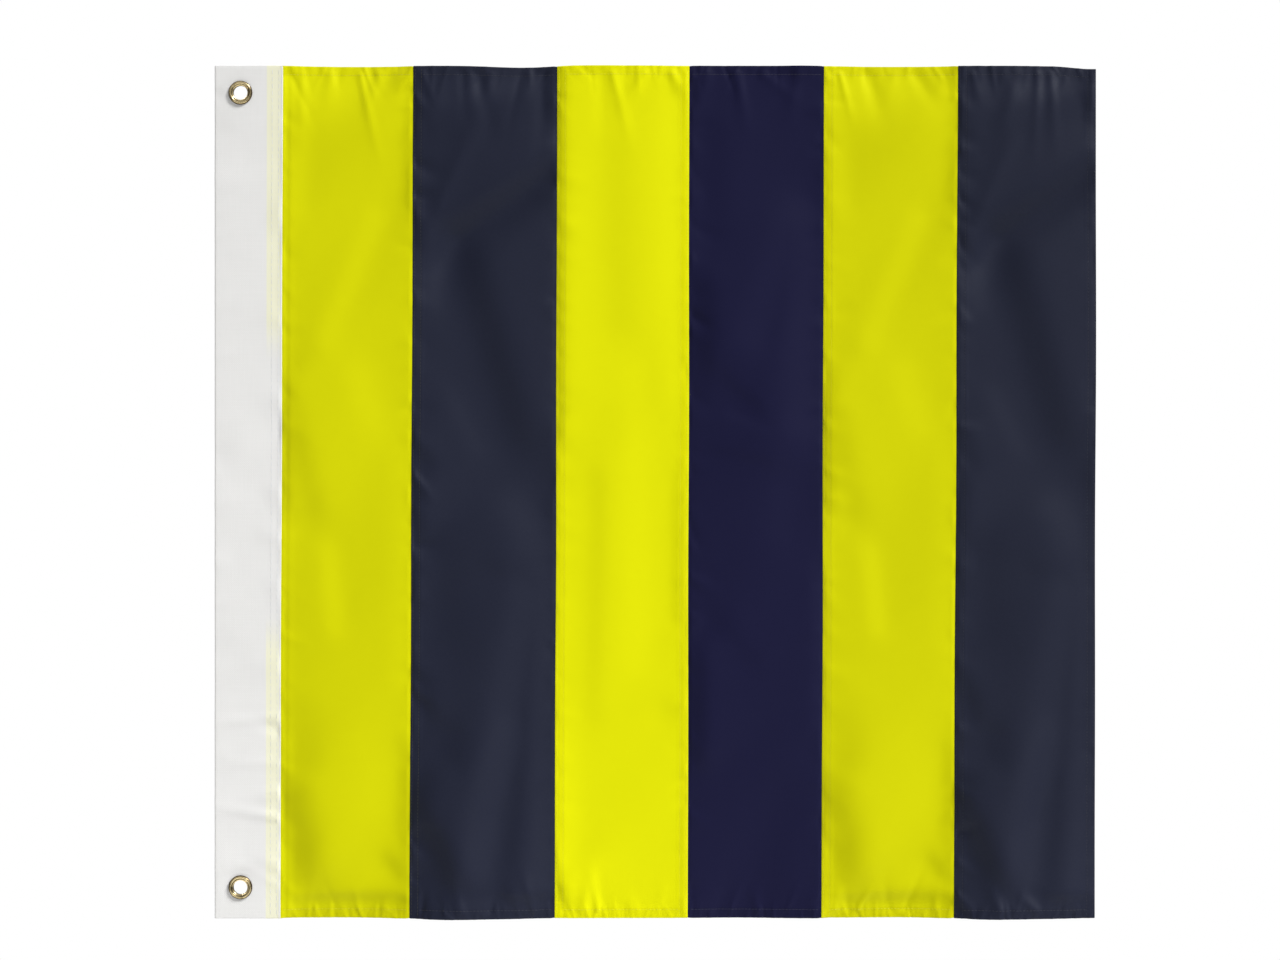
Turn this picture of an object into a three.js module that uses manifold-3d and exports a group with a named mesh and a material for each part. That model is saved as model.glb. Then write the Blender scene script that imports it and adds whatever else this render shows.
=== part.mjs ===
// A striped signal flag: six upright stripes of bunting, sewn edge to edge behind a folded canvas
// heading that carries two brass grommets. Millimetres, +Z up. X runs from the hoist to the fly, the
// front of the flag looks along -Y, and the origin is the centre of the upper grommet's hole.
import * as THREE from "three";
import { mergeVertices } from "three/addons/utils/BufferGeometryUtils.js";
import Module from "manifold-3d";

const wasm = await Module();
wasm.setup();

// Cut of the flag.
const FLAG_HEIGHT = 610;
const HEADING_WIDTH = 48.5;
const STRIPE_WIDTHS = [93.5, 103, 94.5, 96.5, 96, 98.5];

// Cloth. Pieces that lie on each other or meet edge to edge keep the clearance between them.
const BUNTING = 0.5;
const CANVAS = 0.6;
const CLEARANCE = 0.3;

// Turned edges: the bunting is folded to the back and sewn down.
const HEM_FOLD = 7.5;
const HEM_STITCH_INSET = 1.4; // from the turned layer's raw edge
const SEAM_FOLD = 7;
const SEAM_STITCH_INSETS = [1.2, 1.3]; // from the seam, and from the turned layer's raw edge
const TUCKED_EDGE = 11.5;
const HEADING_STITCHES = [2.6, 7.4]; // from the heading's edge
const END_RELIEF = 1.5; // how far a hem stops short of a seam, so that the seam can bend

// Sewing thread, as one bar for each row of stitches.
const THREAD_WIDTH = 0.5;
const THREAD_HEIGHT = 0.4;
const THREAD_END = 2;

// Grommets: an eyelet pushed through from the front and rolled over a washer at the back.
const GROMMET_INSET = 18.3;
const GROMMET_BELOW_TOP = 19.3;
const GROMMET_ABOVE_BOTTOM = 22.2;
const EYELET_BORE = 10.2;
const EYELET_WALL = 0.4;
const FLANGE_WIDTH = 3.45; // from the bore to the flange's outer edge
const FLANGE_RISE = 1.3;
const LIP_REACH = 1.3;
const WASHER_PLATE = 0.6;
const WASHER_RIM = 1.3; // width of the flat rim
const WASHER_HEIGHT = 1.3;
const ROUND_SIDES = 32;
const ARC_STEPS = 10;

// Where the edges come, counted from the upper grommet.
const HOIST_X = -GROMMET_INSET;
const HEADING_EDGE_X = HOIST_X + HEADING_WIDTH;
const TOP_Z = GROMMET_BELOW_TOP;
const BOTTOM_Z = TOP_Z - FLAG_HEIGHT;
const LOWER_GROMMET_Z = BOTTOM_Z + GROMMET_ABOVE_BOTTOM;

// How deep the layers lie.
const BUNTING_FACE = BUNTING / 2;
const TURNED_LAYER_FRONT = BUNTING_FACE + CLEARANCE;
const TURNED_LAYER_BACK = TURNED_LAYER_FRONT + BUNTING;
const HEADING_LINING = BUNTING_FACE + CLEARANCE;
const HEADING_FACE = HEADING_LINING + CANVAS;
const BARREL_RADIUS = EYELET_BORE / 2 + EYELET_WALL;
const GROMMET_HOLE_RADIUS = BARREL_RADIUS + CLEARANCE;

// Where the rows of stitches lie, counted from the edge that they sew down.
const HEM_STITCH = HEM_FOLD - HEM_STITCH_INSET;
const SEAM_STITCHES = [SEAM_STITCH_INSETS[0], SEAM_FOLD - SEAM_STITCH_INSETS[1]];

const yellow = new THREE.MeshStandardMaterial({ color: 0xd8dc0c, roughness: 0.75, metalness: 0 });
const navy = new THREE.MeshStandardMaterial({ color: 0x262a3a, roughness: 0.7, metalness: 0 });
const indigo = new THREE.MeshStandardMaterial({ color: 0x1e1c38, roughness: 0.75, metalness: 0 });
const canvas = new THREE.MeshStandardMaterial({ color: 0xe8e8e6, roughness: 0.9, metalness: 0 });
const brass = new THREE.MeshStandardMaterial({ color: 0xb08d4a, roughness: 0.3, metalness: 1 });
const paleThread = new THREE.MeshStandardMaterial({ color: 0xbfc2c8, roughness: 0.6, metalness: 0 });
const yellowThread = new THREE.MeshStandardMaterial({ color: 0xc9b92a, roughness: 0.6, metalness: 0 });
const navyThread = new THREE.MeshStandardMaterial({ color: 0x20242f, roughness: 0.6, metalness: 0 });

// The stripes from hoist to fly. A stripe's folds say which of its upright edges are turned to the
// back: at a seam one of the two neighbours is folded round the other, and the last fold is the fly hem.
const STRIPES = [
  { name: "yellow_stripe_1", material: yellow, folds: [], thread: yellowThread },
  { name: "navy_stripe_2", material: navy, folds: ["hoist"], thread: yellowThread },
  { name: "yellow_stripe_3", material: yellow, folds: ["hoist", "fly"], thread: yellowThread },
  { name: "indigo_stripe_4", material: indigo, folds: [], thread: navyThread },
  { name: "yellow_stripe_5", material: yellow, folds: ["hoist"], thread: yellowThread },
  { name: "navy_stripe_6", material: navy, folds: ["hoist", "fly"], thread: navyThread },
];

// A closed geometry as a solid that can be joined and cut.
function solidFrom(geometry) {
  const bare = geometry.clone();
  bare.deleteAttribute("normal");
  bare.deleteAttribute("uv");
  const merged = mergeVertices(bare, 1e-4);
  return new wasm.Manifold(
    new wasm.Mesh({
      numProp: 3,
      vertProperties: new Float32Array(merged.attributes.position.array),
      triVerts: new Uint32Array(merged.index.array),
    }),
  );
}

function geometryFrom(solid) {
  const made = solid.getMesh();
  const geometry = new THREE.BufferGeometry();
  geometry.setAttribute("position", new THREE.BufferAttribute(made.vertProperties, 3));
  geometry.setIndex(new THREE.BufferAttribute(made.triVerts, 1));
  geometry.computeVertexNormals();
  return geometry;
}

// A block between two corners.
function block(low, high) {
  const size = high.map((value, i) => value - low[i]);
  const middle = high.map((value, i) => (value + low[i]) / 2);
  return new THREE.BoxGeometry(...size).translate(...middle);
}

function named(name, geometry, material) {
  const mesh = new THREE.Mesh(geometry, material);
  mesh.name = name;
  return mesh;
}

// A closed profile of [radius, depth] points turned about the Y axis.
function turned(profile) {
  const points = [...profile, profile[0]].map(([radius, y]) => new THREE.Vector2(radius, y));
  return new THREE.LatheGeometry(points, ROUND_SIDES);
}

// The canvas heading: one strip folded in two at the hoist, with a hole for each grommet.
function heading() {
  const foldX = HOIST_X + HEADING_FACE;
  const edgeX = HEADING_EDGE_X - CLEARANCE / 2;
  const section = new THREE.Shape();
  section.moveTo(edgeX, HEADING_FACE);
  section.absarc(foldX, 0, HEADING_FACE, Math.PI / 2, -Math.PI / 2, false);
  section.lineTo(edgeX, -HEADING_FACE);
  section.lineTo(edgeX, -HEADING_LINING);
  section.absarc(foldX, 0, HEADING_LINING, -Math.PI / 2, Math.PI / 2, true);
  section.lineTo(edgeX, HEADING_LINING);
  const strip = new THREE.ExtrudeGeometry(section, {
    depth: FLAG_HEIGHT,
    bevelEnabled: false,
    curveSegments: ARC_STEPS,
  });
  let solid = solidFrom(strip.translate(0, 0, BOTTOM_Z));
  for (const z of [0, LOWER_GROMMET_Z]) {
    const punch = new THREE.CylinderGeometry(
      GROMMET_HOLE_RADIUS,
      GROMMET_HOLE_RADIUS,
      4 * HEADING_FACE,
      ROUND_SIDES,
    );
    solid = solid.subtract(solidFrom(punch.translate(0, 0, z)));
  }
  return named("canvas_heading", geometryFrom(solid), canvas);
}

// The edge of the first stripe's bunting that lies between the two layers of the heading.
function tuckedEdge() {
  const edgeX = HEADING_EDGE_X - CLEARANCE / 2;
  const geometry = block(
    [edgeX - TUCKED_EDGE, -BUNTING_FACE, BOTTOM_Z],
    [edgeX, BUNTING_FACE, TOP_Z],
  );
  return named("stripe_1_tucked_edge", geometry, yellow);
}

// The eyelet: a domed flange in front, a thin barrel through the canvas and a lip rolled out behind.
function eyelet(name, z) {
  const bore = EYELET_BORE / 2;
  const flangeRadius = bore + FLANGE_WIDTH;
  const flangeBack = -HEADING_FACE - CLEARANCE;
  const lipFront = HEADING_FACE + CLEARANCE + WASHER_PLATE + CLEARANCE;
  const lipBack = lipFront + EYELET_WALL;
  const dome = new THREE.EllipseCurve(
    (flangeRadius + bore) / 2,
    flangeBack,
    (flangeRadius - bore) / 2,
    FLANGE_RISE,
    0,
    -Math.PI,
    true,
  );
  const profile = [
    [BARREL_RADIUS, flangeBack],
    ...dome.getPoints(ARC_STEPS).map((point) => [point.x, point.y]),
    [bore, lipFront],
    [BARREL_RADIUS, lipBack],
    [BARREL_RADIUS + LIP_REACH, lipBack],
    [BARREL_RADIUS + LIP_REACH, lipFront],
    [BARREL_RADIUS, lipFront],
  ];
  const mesh = named(name, turned(profile.reverse()), brass);
  mesh.position.z = z;
  return mesh;
}

// The washer: a plate under the eyelet's lip inside a raised rim that the lip doesn't pass.
function washer(name, z) {
  const rimInner = BARREL_RADIUS + LIP_REACH + CLEARANCE;
  const rimRadius = rimInner + WASHER_RIM;
  const front = HEADING_FACE + CLEARANCE;
  const profile = [
    [GROMMET_HOLE_RADIUS, front],
    [rimRadius, front],
    [rimRadius, front + WASHER_HEIGHT],
    [rimInner, front + WASHER_HEIGHT],
    [rimInner, front + WASHER_PLATE],
    [GROMMET_HOLE_RADIUS, front + WASHER_PLATE],
  ];
  const mesh = named(name, turned(profile), brass);
  mesh.position.z = z;
  return mesh;
}

// One stripe of bunting with its hems and its turned upright edges.
function stripe(spec, hoistX, flyX) {
  const fold = (low, high) =>
    solidFrom(block([low[0], TURNED_LAYER_FRONT, low[1]], [high[0], TURNED_LAYER_BACK, high[1]]));
  const bend = (low, high) =>
    solidFrom(block([low[0], -BUNTING_FACE, low[1]], [high[0], TURNED_LAYER_BACK, high[1]]));
  let solid = solidFrom(block([hoistX, -BUNTING_FACE, BOTTOM_Z], [flyX, BUNTING_FACE, TOP_Z]));
  const hemFrom = hoistX + END_RELIEF;
  const hemTo = flyX - END_RELIEF;
  solid = solid.add(fold([hemFrom, TOP_Z - HEM_FOLD], [hemTo, TOP_Z]));
  solid = solid.add(bend([hemFrom, TOP_Z - BUNTING], [hemTo, TOP_Z]));
  solid = solid.add(fold([hemFrom, BOTTOM_Z], [hemTo, BOTTOM_Z + HEM_FOLD]));
  solid = solid.add(bend([hemFrom, BOTTOM_Z], [hemTo, BOTTOM_Z + BUNTING]));
  if (spec.folds.includes("hoist")) {
    solid = solid.add(fold([hoistX, BOTTOM_Z], [hoistX + SEAM_FOLD, TOP_Z]));
    solid = solid.add(bend([hoistX, BOTTOM_Z], [hoistX + BUNTING, TOP_Z]));
  }
  if (spec.folds.includes("fly")) {
    solid = solid.add(fold([flyX - SEAM_FOLD, BOTTOM_Z], [flyX, TOP_Z]));
    solid = solid.add(bend([flyX - BUNTING, BOTTOM_Z], [flyX, TOP_Z]));
  }
  return named(spec.name, geometryFrom(solid), spec.material);
}

// A row of stitches that runs up the flag at x, in front of a face.
function uprightThread(name, x, face, material) {
  const front = -face - CLEARANCE;
  const geometry = block(
    [x - THREAD_WIDTH / 2, front - THREAD_HEIGHT, BOTTOM_Z + THREAD_END],
    [x + THREAD_WIDTH / 2, front, TOP_Z - THREAD_END],
  );
  return named(name, geometry, material);
}

// A row of stitches along a hem, from one upright row to the next.
function hemThread(name, fromX, toX, z) {
  const front = -BUNTING_FACE - CLEARANCE;
  const geometry = block(
    [fromX, front - THREAD_HEIGHT, z - THREAD_WIDTH / 2],
    [toX, front, z + THREAD_WIDTH / 2],
  );
  return named(name, geometry, paleThread);
}

// The stitches of one stripe: a row along each hem, and two rows down each turned upright edge. The
// hem rows stop short of the upright rows that they would run into.
function stripeThreads(spec, number, hoistX, flyX) {
  const threads = [];
  const uprightRow = SEAM_STITCHES[1] + THREAD_WIDTH / 2 + CLEARANCE;
  const hemFrom = hoistX + (spec.folds.includes("hoist") ? uprightRow : THREAD_END);
  const hemTo = flyX - (spec.folds.includes("fly") ? uprightRow : THREAD_END);
  threads.push(hemThread("hem_thread_top_" + number, hemFrom, hemTo, TOP_Z - HEM_STITCH));
  threads.push(hemThread("hem_thread_bottom_" + number, hemFrom, hemTo, BOTTOM_Z + HEM_STITCH));
  for (const side of spec.folds) {
    SEAM_STITCHES.forEach((inset, row) => {
      const x = side === "hoist" ? hoistX + inset : flyX - inset;
      const name = "seam_thread_" + number + "_" + side + "_" + (row + 1);
      threads.push(uprightThread(name, x, BUNTING_FACE, spec.thread));
    });
  }
  return threads;
}

const flag = new THREE.Group();
flag.add(heading());
flag.add(tuckedEdge());
flag.add(eyelet("upper_eyelet", 0));
flag.add(washer("upper_washer", 0));
flag.add(eyelet("lower_eyelet", LOWER_GROMMET_Z));
flag.add(washer("lower_washer", LOWER_GROMMET_Z));
HEADING_STITCHES.forEach((inset, row) => {
  const name = "heading_thread_" + (row + 1);
  flag.add(uprightThread(name, HEADING_EDGE_X - inset, HEADING_FACE, paleThread));
});

let seamX = HEADING_EDGE_X;
STRIPES.forEach((spec, index) => {
  const isLast = index === STRIPES.length - 1;
  const hoistX = seamX + CLEARANCE / 2;
  const flyX = seamX + STRIPE_WIDTHS[index] - (isLast ? 0 : CLEARANCE / 2);
  flag.add(stripe(spec, hoistX, flyX));
  flag.add(...stripeThreads(spec, index + 1, hoistX, flyX));
  seamX += STRIPE_WIDTHS[index];
});

export default flag;
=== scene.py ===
"""A square signal flag of six sewn stripes on a folded canvas heading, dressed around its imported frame.

Lengths are in metres. X runs from the hoist to the fly, Z is up and the front of the flag looks
along -Y. "Depth" is a distance behind the middle of the cloth, so it is negative in front.
"""

from __future__ import annotations

import logging
import math
from collections.abc import Callable
from dataclasses import dataclass, replace
from enum import Enum

import bpy
import numpy as np
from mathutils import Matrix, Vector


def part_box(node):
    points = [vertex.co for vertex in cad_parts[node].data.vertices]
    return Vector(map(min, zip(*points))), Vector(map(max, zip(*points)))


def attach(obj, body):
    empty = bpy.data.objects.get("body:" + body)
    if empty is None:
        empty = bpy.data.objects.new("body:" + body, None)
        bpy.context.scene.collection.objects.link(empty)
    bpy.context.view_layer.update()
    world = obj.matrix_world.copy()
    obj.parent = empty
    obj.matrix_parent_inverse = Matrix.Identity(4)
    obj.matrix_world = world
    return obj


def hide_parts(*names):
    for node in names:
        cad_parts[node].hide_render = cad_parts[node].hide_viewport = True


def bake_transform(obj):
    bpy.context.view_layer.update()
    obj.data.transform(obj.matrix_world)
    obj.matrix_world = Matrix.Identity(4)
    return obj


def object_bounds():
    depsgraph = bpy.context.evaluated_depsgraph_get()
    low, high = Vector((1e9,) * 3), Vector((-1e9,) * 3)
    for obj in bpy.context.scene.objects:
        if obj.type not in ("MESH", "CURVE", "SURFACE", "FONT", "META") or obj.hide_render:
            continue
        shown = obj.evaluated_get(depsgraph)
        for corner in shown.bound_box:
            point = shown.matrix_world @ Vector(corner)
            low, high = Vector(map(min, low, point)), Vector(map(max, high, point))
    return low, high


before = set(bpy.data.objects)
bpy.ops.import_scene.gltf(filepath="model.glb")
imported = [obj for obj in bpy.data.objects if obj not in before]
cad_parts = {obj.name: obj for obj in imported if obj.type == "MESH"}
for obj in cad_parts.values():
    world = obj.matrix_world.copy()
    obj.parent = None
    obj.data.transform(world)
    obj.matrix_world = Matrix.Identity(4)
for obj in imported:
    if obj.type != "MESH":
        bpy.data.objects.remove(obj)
cad_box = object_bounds()

LOG = logging.getLogger("flag")
MM = 0.001
CLOTH_MAP = "cloth"  # the map that holds each cloth's flat coordinates, in metres
PAINTED_SHADE_MARK = "age"  # the mesh value that says where the metal is darkened: painted shade and dark reflection
SHARP_FROM = math.radians(62)  # the angle between faces from which an edge is sharp

Array = np.ndarray
Place = tuple[float, float]
Colour = tuple[float, float, float]
Socket = bpy.types.NodeSocket
Mesh = bpy.types.Mesh
Piece = bpy.types.Object
Material = bpy.types.Material


class Slot(Enum):
    """The record's material slots."""

    YELLOW = "yellow_bunting"
    NAVY = "navy_bunting"
    INDIGO = "indigo_bunting"
    CANVAS = "white_canvas"
    BRASS = "brass"
    PALE_THREAD = "pale_thread"
    YELLOW_THREAD = "yellow_thread"
    NAVY_THREAD = "navy_thread"


class Side(Enum):
    """The two upright edges of a stripe."""

    HOIST = "hoist"
    FLY = "fly"


class Finish(Enum):
    """What is done to a stripe's upright edge."""

    FOLDED = "turned to the back and sewn down"
    TUCKED = "laid inside the neighbour's fold"
    SEWN_IN = "laid between the layers of the heading"


class Along(Enum):
    """The direction a row of stitches runs in."""

    UPRIGHT = "z"
    LEVEL = "x"


def eased(share: Array) -> Array:
    """Runs smoothly from 0 to 1 as share does, and stays level outside."""
    t = np.clip(share, 0.0, 1.0)
    return t * t * (3.0 - 2.0 * t)


def bell(distance: Array, width: float) -> Array:
    """A smooth hump of height 1 and of the given half width."""
    return np.exp(-((distance / width) ** 2))


def spaced(low: float, high: float, fine: float, coarse: float, margin: float) -> Array:
    """Places from low to high, fine apart within margin of both ends and coarse apart between.

    Args:
        low: the first place.
        high: the last place.
        fine: the step near the ends.
        coarse: the step in the middle.
        margin: how far the fine steps reach.

    Returns:
        The places in order.
    """
    count = max(2, round(margin / fine))
    middle = max(2, round((high - low - 2 * margin) / coarse))
    parts = [
        np.linspace(low, low + margin, count, endpoint=False),
        np.linspace(low + margin, high - margin, middle, endpoint=False),
        np.linspace(high - margin, high, count + 1),
    ]
    return np.concatenate(parts)


def middle_of(node: str) -> Place:
    """The middle of a node, along X and along Z."""
    low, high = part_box(node)
    return (low.x + high.x) / 2, (low.z + high.z) / 2


@dataclass(frozen=True)
class Lean:
    """A patch of cloth that leans towards the light or away from it, as the side of a long soft fold.

    Attributes:
        start: one end of the patch, as shares of the stripe's width and height from its top hoist corner.
        end: its other end, in the same shares.
        width: half the patch's width.
        slope: how far it leans, positive where it faces up and to the fly.
    """

    start: Place
    end: Place
    width: float
    slope: float

    SHORTEST = 0.01 * MM  # of the line between the ends, so that it keeps a direction

    def amount(self, across: Array, down: Array, size: Place) -> Array:
        """The lean that the patch asks for.

        Args:
            across: distances from the stripe's hoist seam.
            down: distances below its top edge.
            size: the stripe's width and height.

        Returns:
            The slope at each place.
        """
        ax, az = self.start[0] * size[0], self.start[1] * size[1]
        bx, bz = self.end[0] * size[0], self.end[1] * size[1]
        length = max(math.hypot(bx - ax, bz - az), self.SHORTEST)
        ux, uz = (bx - ax) / length, (bz - az) / length
        along = (across - ax) * ux + (down - az) * uz
        beside = (across - ax) * -uz + (down - az) * ux
        beyond = np.maximum(np.maximum(-along, along - length), 0.0)
        return self.slope * np.exp(-(beside**2 + beyond**2) / self.width**2)


class Billow:
    """One stripe's long soft folds: the smooth shape that leans as asked and meets both seams."""

    STEP = 2.5 * MM
    LIGHT = (0.673, 0.740)  # the way that a lean faces, along X and along Z
    EASE = 0.13  # how much the shape avoids slopes across that way
    STIFFNESS = 0.6  # how much it avoids sharp bends
    KEEP = 1.0 / (58 * MM)  # how much it avoids standing away from the flag
    ROUNDS = 500
    INSIDE = 1.001  # how many corners before the last one a place has to stay

    def __init__(self, size: Place, leans: tuple[Lean, ...]) -> None:
        """Works the shape out.

        Args:
            size: the stripe's width and height.
            leans: how it leans.
        """
        columns, rows = (round(side / self.STEP) for side in size)
        self.step = (size[0] / columns, size[1] / rows)
        across = (np.arange(columns) + 0.5) * self.step[0]
        down = (np.arange(rows) + 0.5) * self.step[1]
        amounts = np.array([lean.amount(across[:, None], down[None, :], size) for lean in leans])
        self.shape = self._solve(np.maximum(amounts, 0.0).max(axis=0) + np.minimum(amounts, 0.0).min(axis=0))

    def _slopes(self, shape: Array) -> tuple[Array, Array]:
        """A shape's slopes the way that leans face and across it, in the middle of each cell."""
        dx = (shape[1:, :-1] + shape[1:, 1:] - shape[:-1, :-1] - shape[:-1, 1:]) / (2 * self.step[0])
        dz = (shape[:-1, :-1] + shape[1:, :-1] - shape[:-1, 1:] - shape[1:, 1:]) / (2 * self.step[1])
        return self.LIGHT[0] * dx + self.LIGHT[1] * dz, self.LIGHT[1] * dx - self.LIGHT[0] * dz

    def _slopes_back(self, facing: Array, crossing: Array) -> Array:
        """The transpose of _slopes."""
        dx = (self.LIGHT[0] * facing + self.LIGHT[1] * crossing) / (2 * self.step[0])
        dz = (self.LIGHT[1] * facing - self.LIGHT[0] * crossing) / (2 * self.step[1])
        out = np.zeros((facing.shape[0] + 1, facing.shape[1] + 1))
        out[1:, :-1] += dx + dz
        out[1:, 1:] += dx - dz
        out[:-1, :-1] += dz - dx
        out[:-1, 1:] -= dx + dz
        return out

    def _bends(self, shape: Array) -> tuple[Array, Array]:
        """How sharply a shape bends both ways, as the change of slope over one step."""
        return np.diff(shape, 2, axis=0) / self.step[0], np.diff(shape, 2, axis=1) / self.step[1]

    def _bends_back(self, first: Array, second: Array, shape: tuple[int, int]) -> Array:
        """The transpose of _bends."""
        out = np.zeros(shape)
        for part, axis, step in ((first, 0, self.step[0]), (second, 1, self.step[1])):
            wide = np.moveaxis(out, axis, 0)
            flat = np.moveaxis(part, axis, 0) / step
            wide[:-2] += flat
            wide[1:-1] -= 2 * flat
            wide[2:] += flat
        return out

    def _solve(self, asked: Array) -> Array:
        """Finds the shape by conjugate gradients.

        Args:
            asked: the lean asked of each cell.

        Returns:
            The depth at each corner of the cells, zero along both seams.
        """
        def pinned(values: Array) -> Array:
            """The same with nothing along the seams."""
            values[0], values[-1] = 0.0, 0.0
            return values

        def weigh(shape: Array) -> Array:
            """How much each depth costs."""
            facing, crossing = self._slopes(shape)
            first, second = self._bends(shape)
            soft = self._slopes_back(facing, self.EASE**2 * crossing)
            stiff = self.STIFFNESS**2
            kept = self.KEEP**2 * shape
            return pinned(soft + kept + self._bends_back(stiff * first, stiff * second, shape.shape))

        shape = np.zeros((asked.shape[0] + 1, asked.shape[1] + 1))
        rest = pinned(self._slopes_back(asked, np.zeros_like(asked)))
        way = rest.copy()
        size = float((rest * rest).sum())
        for _ in range(self.ROUNDS):
            weighed = weigh(way)
            share = size / float((way * weighed).sum())
            shape += share * way
            rest -= share * weighed
            after = float((rest * rest).sum())
            way = rest + after / size * way
            size = after
        return shape

    def depth(self, across: Array, down: Array) -> Array:
        """The depth at places across the stripe and down it, smoothly between the cells' corners."""
        total = np.zeros_like(across)
        wide, tall = self.shape.shape
        u = np.clip(across / self.step[0], 0.0, wide - self.INSIDE)
        v = np.clip(down / self.step[1], 0.0, tall - self.INSIDE)
        i, j = np.floor(u).astype(int), np.floor(v).astype(int)
        for spot_u, share_u in zip(range(-1, 3), self._shares(u - i)):
            row = np.clip(i + spot_u, 0, wide - 1)
            for spot_v, share_v in zip(range(-1, 3), self._shares(v - j)):
                column = np.clip(j + spot_v, 0, tall - 1)
                total += share_u * share_v * self.shape[row, column]
        return total

    @staticmethod
    def _shares(t: Array) -> tuple[Array, Array, Array, Array]:
        """The shares of four neighbours in a smooth curve through the middle two."""
        return (
            ((2.0 - t) * t - 1.0) * t / 2.0,
            ((3.0 * t - 5.0) * t * t + 2.0) / 2.0,
            ((4.0 - 3.0 * t) * t + 1.0) * t / 2.0,
            (t - 1.0) * t * t / 2.0,
        )


@dataclass(frozen=True)
class Pucker:
    """A small ridge that the sewing draws up, from an edge into the cloth.

    Attributes:
        x: where it starts along the flag.
        z: the height where it starts.
        heading: its direction, in radians from +X towards +Z.
        length: how far it runs before it is gone.
        width: half its width.
        rise: its height at the start.
    """

    x: float
    z: float
    heading: float
    length: float
    width: float
    rise: float

    WIDENING = 0.8  # how much wider it is where it ends, as a share

    def depth(self, x: Array, z: Array) -> Array:
        """How far the pucker pushes the cloth back, which is forward for a positive rise."""
        ux, uz = math.cos(self.heading), math.sin(self.heading)
        along = (x - self.x) * ux + (z - self.z) * uz
        across = (x - self.x) * -uz + (z - self.z) * ux
        fade = np.where(along < 0, bell(along, self.width), 1.0 - eased(along / self.length))
        spread = self.width * (1.0 + self.WIDENING * np.clip(along / self.length, 0, 1))
        return -self.rise * fade * np.exp(-((across / spread) ** 2))


@dataclass(frozen=True)
class PuckerRow:
    """Puckers at uneven places along a sewn edge.

    Attributes:
        spacing: the usual distance between puckers.
        length: the usual length of a pucker.
        rise: the usual height of a pucker.
    """

    spacing: float
    length: float
    rise: float

    FIRST = (0.3, 1.0)  # how far the first one is from the start, in spacings
    GAPS = (0.45, 1.7)  # how far apart they are, in spacings
    LENGTHS = (0.45, 1.5)  # in usual lengths
    WIDTHS = (0.14, 0.3)  # in spacings
    RISES = (0.3, 1.4)  # in usual rises
    TURN = 0.33  # how unevenly they point, in radians
    FORWARD = 0.7  # the share of them that stand forward

    def draw(self, rng: np.random.Generator, start: Place, end: Place, inward: float) -> list[Pucker]:
        """Draws up the puckers.

        Args:
            rng: the source of the unevenness.
            start: one end of the edge, along X and Z.
            end: its other end.
            inward: the direction into the cloth, in radians.

        Returns:
            The puckers.
        """
        run = math.hypot(end[0] - start[0], end[1] - start[1])
        made = []
        at = self.spacing * rng.uniform(*self.FIRST)
        while at < run:
            share = at / run
            made.append(
                Pucker(
                    x=start[0] + (end[0] - start[0]) * share,
                    z=start[1] + (end[1] - start[1]) * share,
                    heading=inward + rng.normal(0.0, self.TURN),
                    length=self.length * rng.uniform(*self.LENGTHS),
                    width=self.spacing * rng.uniform(*self.WIDTHS),
                    rise=self.rise
                    * rng.uniform(*self.RISES)
                    * rng.choice([1.0, -1.0], p=[self.FORWARD, 1.0 - self.FORWARD]),
                )
            )
            at += self.spacing * rng.uniform(*self.GAPS)
        return made


@dataclass(frozen=True)
class Sewing:
    """Sizes of the cloth, the turned edges and the stitches that all the stripes share."""

    bunting: float = 0.25 * MM
    hem_fold: float = 7.5 * MM
    hem_stitch: float = 6.1 * MM
    seam_fold: float = 7.0 * MM
    seam_stitches: tuple[float, float] = (1.2 * MM, 5.7 * MM)
    tuck: float = 5.2 * MM
    tuck_depth: float = 0.28 * MM
    fold_depth: float = 0.56 * MM
    plain_hem_depth: float = 0.34 * MM
    seam_hem_depth: float = 1.42 * MM
    sewn_in: float = 11.5 * MM
    stitch: float = 2.4 * MM
    thread: float = 0.24 * MM


@dataclass(frozen=True)
class StripePlan:
    """Where one stripe lies, what cloth it is, how its edges are finished and how it hangs.

    Attributes:
        number: its place from the hoist, from 1.
        node: its node.
        slot: its cloth's material slot.
        thread: the slot of the thread in its folded edges.
        hoist: how its hoist edge is finished.
        fly: how its fly edge is finished.
        leans: how its long soft folds lean.
        pull: how strongly the seams pucker it, as a share of the usual.
        seed: the seed of its small puckers.
    """

    number: int
    node: str
    slot: Slot
    thread: Slot
    hoist: Finish
    fly: Finish
    leans: tuple[Lean, ...]
    pull: float
    seed: int

    @property
    def piece(self) -> str:
        """The name of its cloth."""
        return f"cloth_{self.number}_{self.slot.value.split('_')[0]}"


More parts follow.
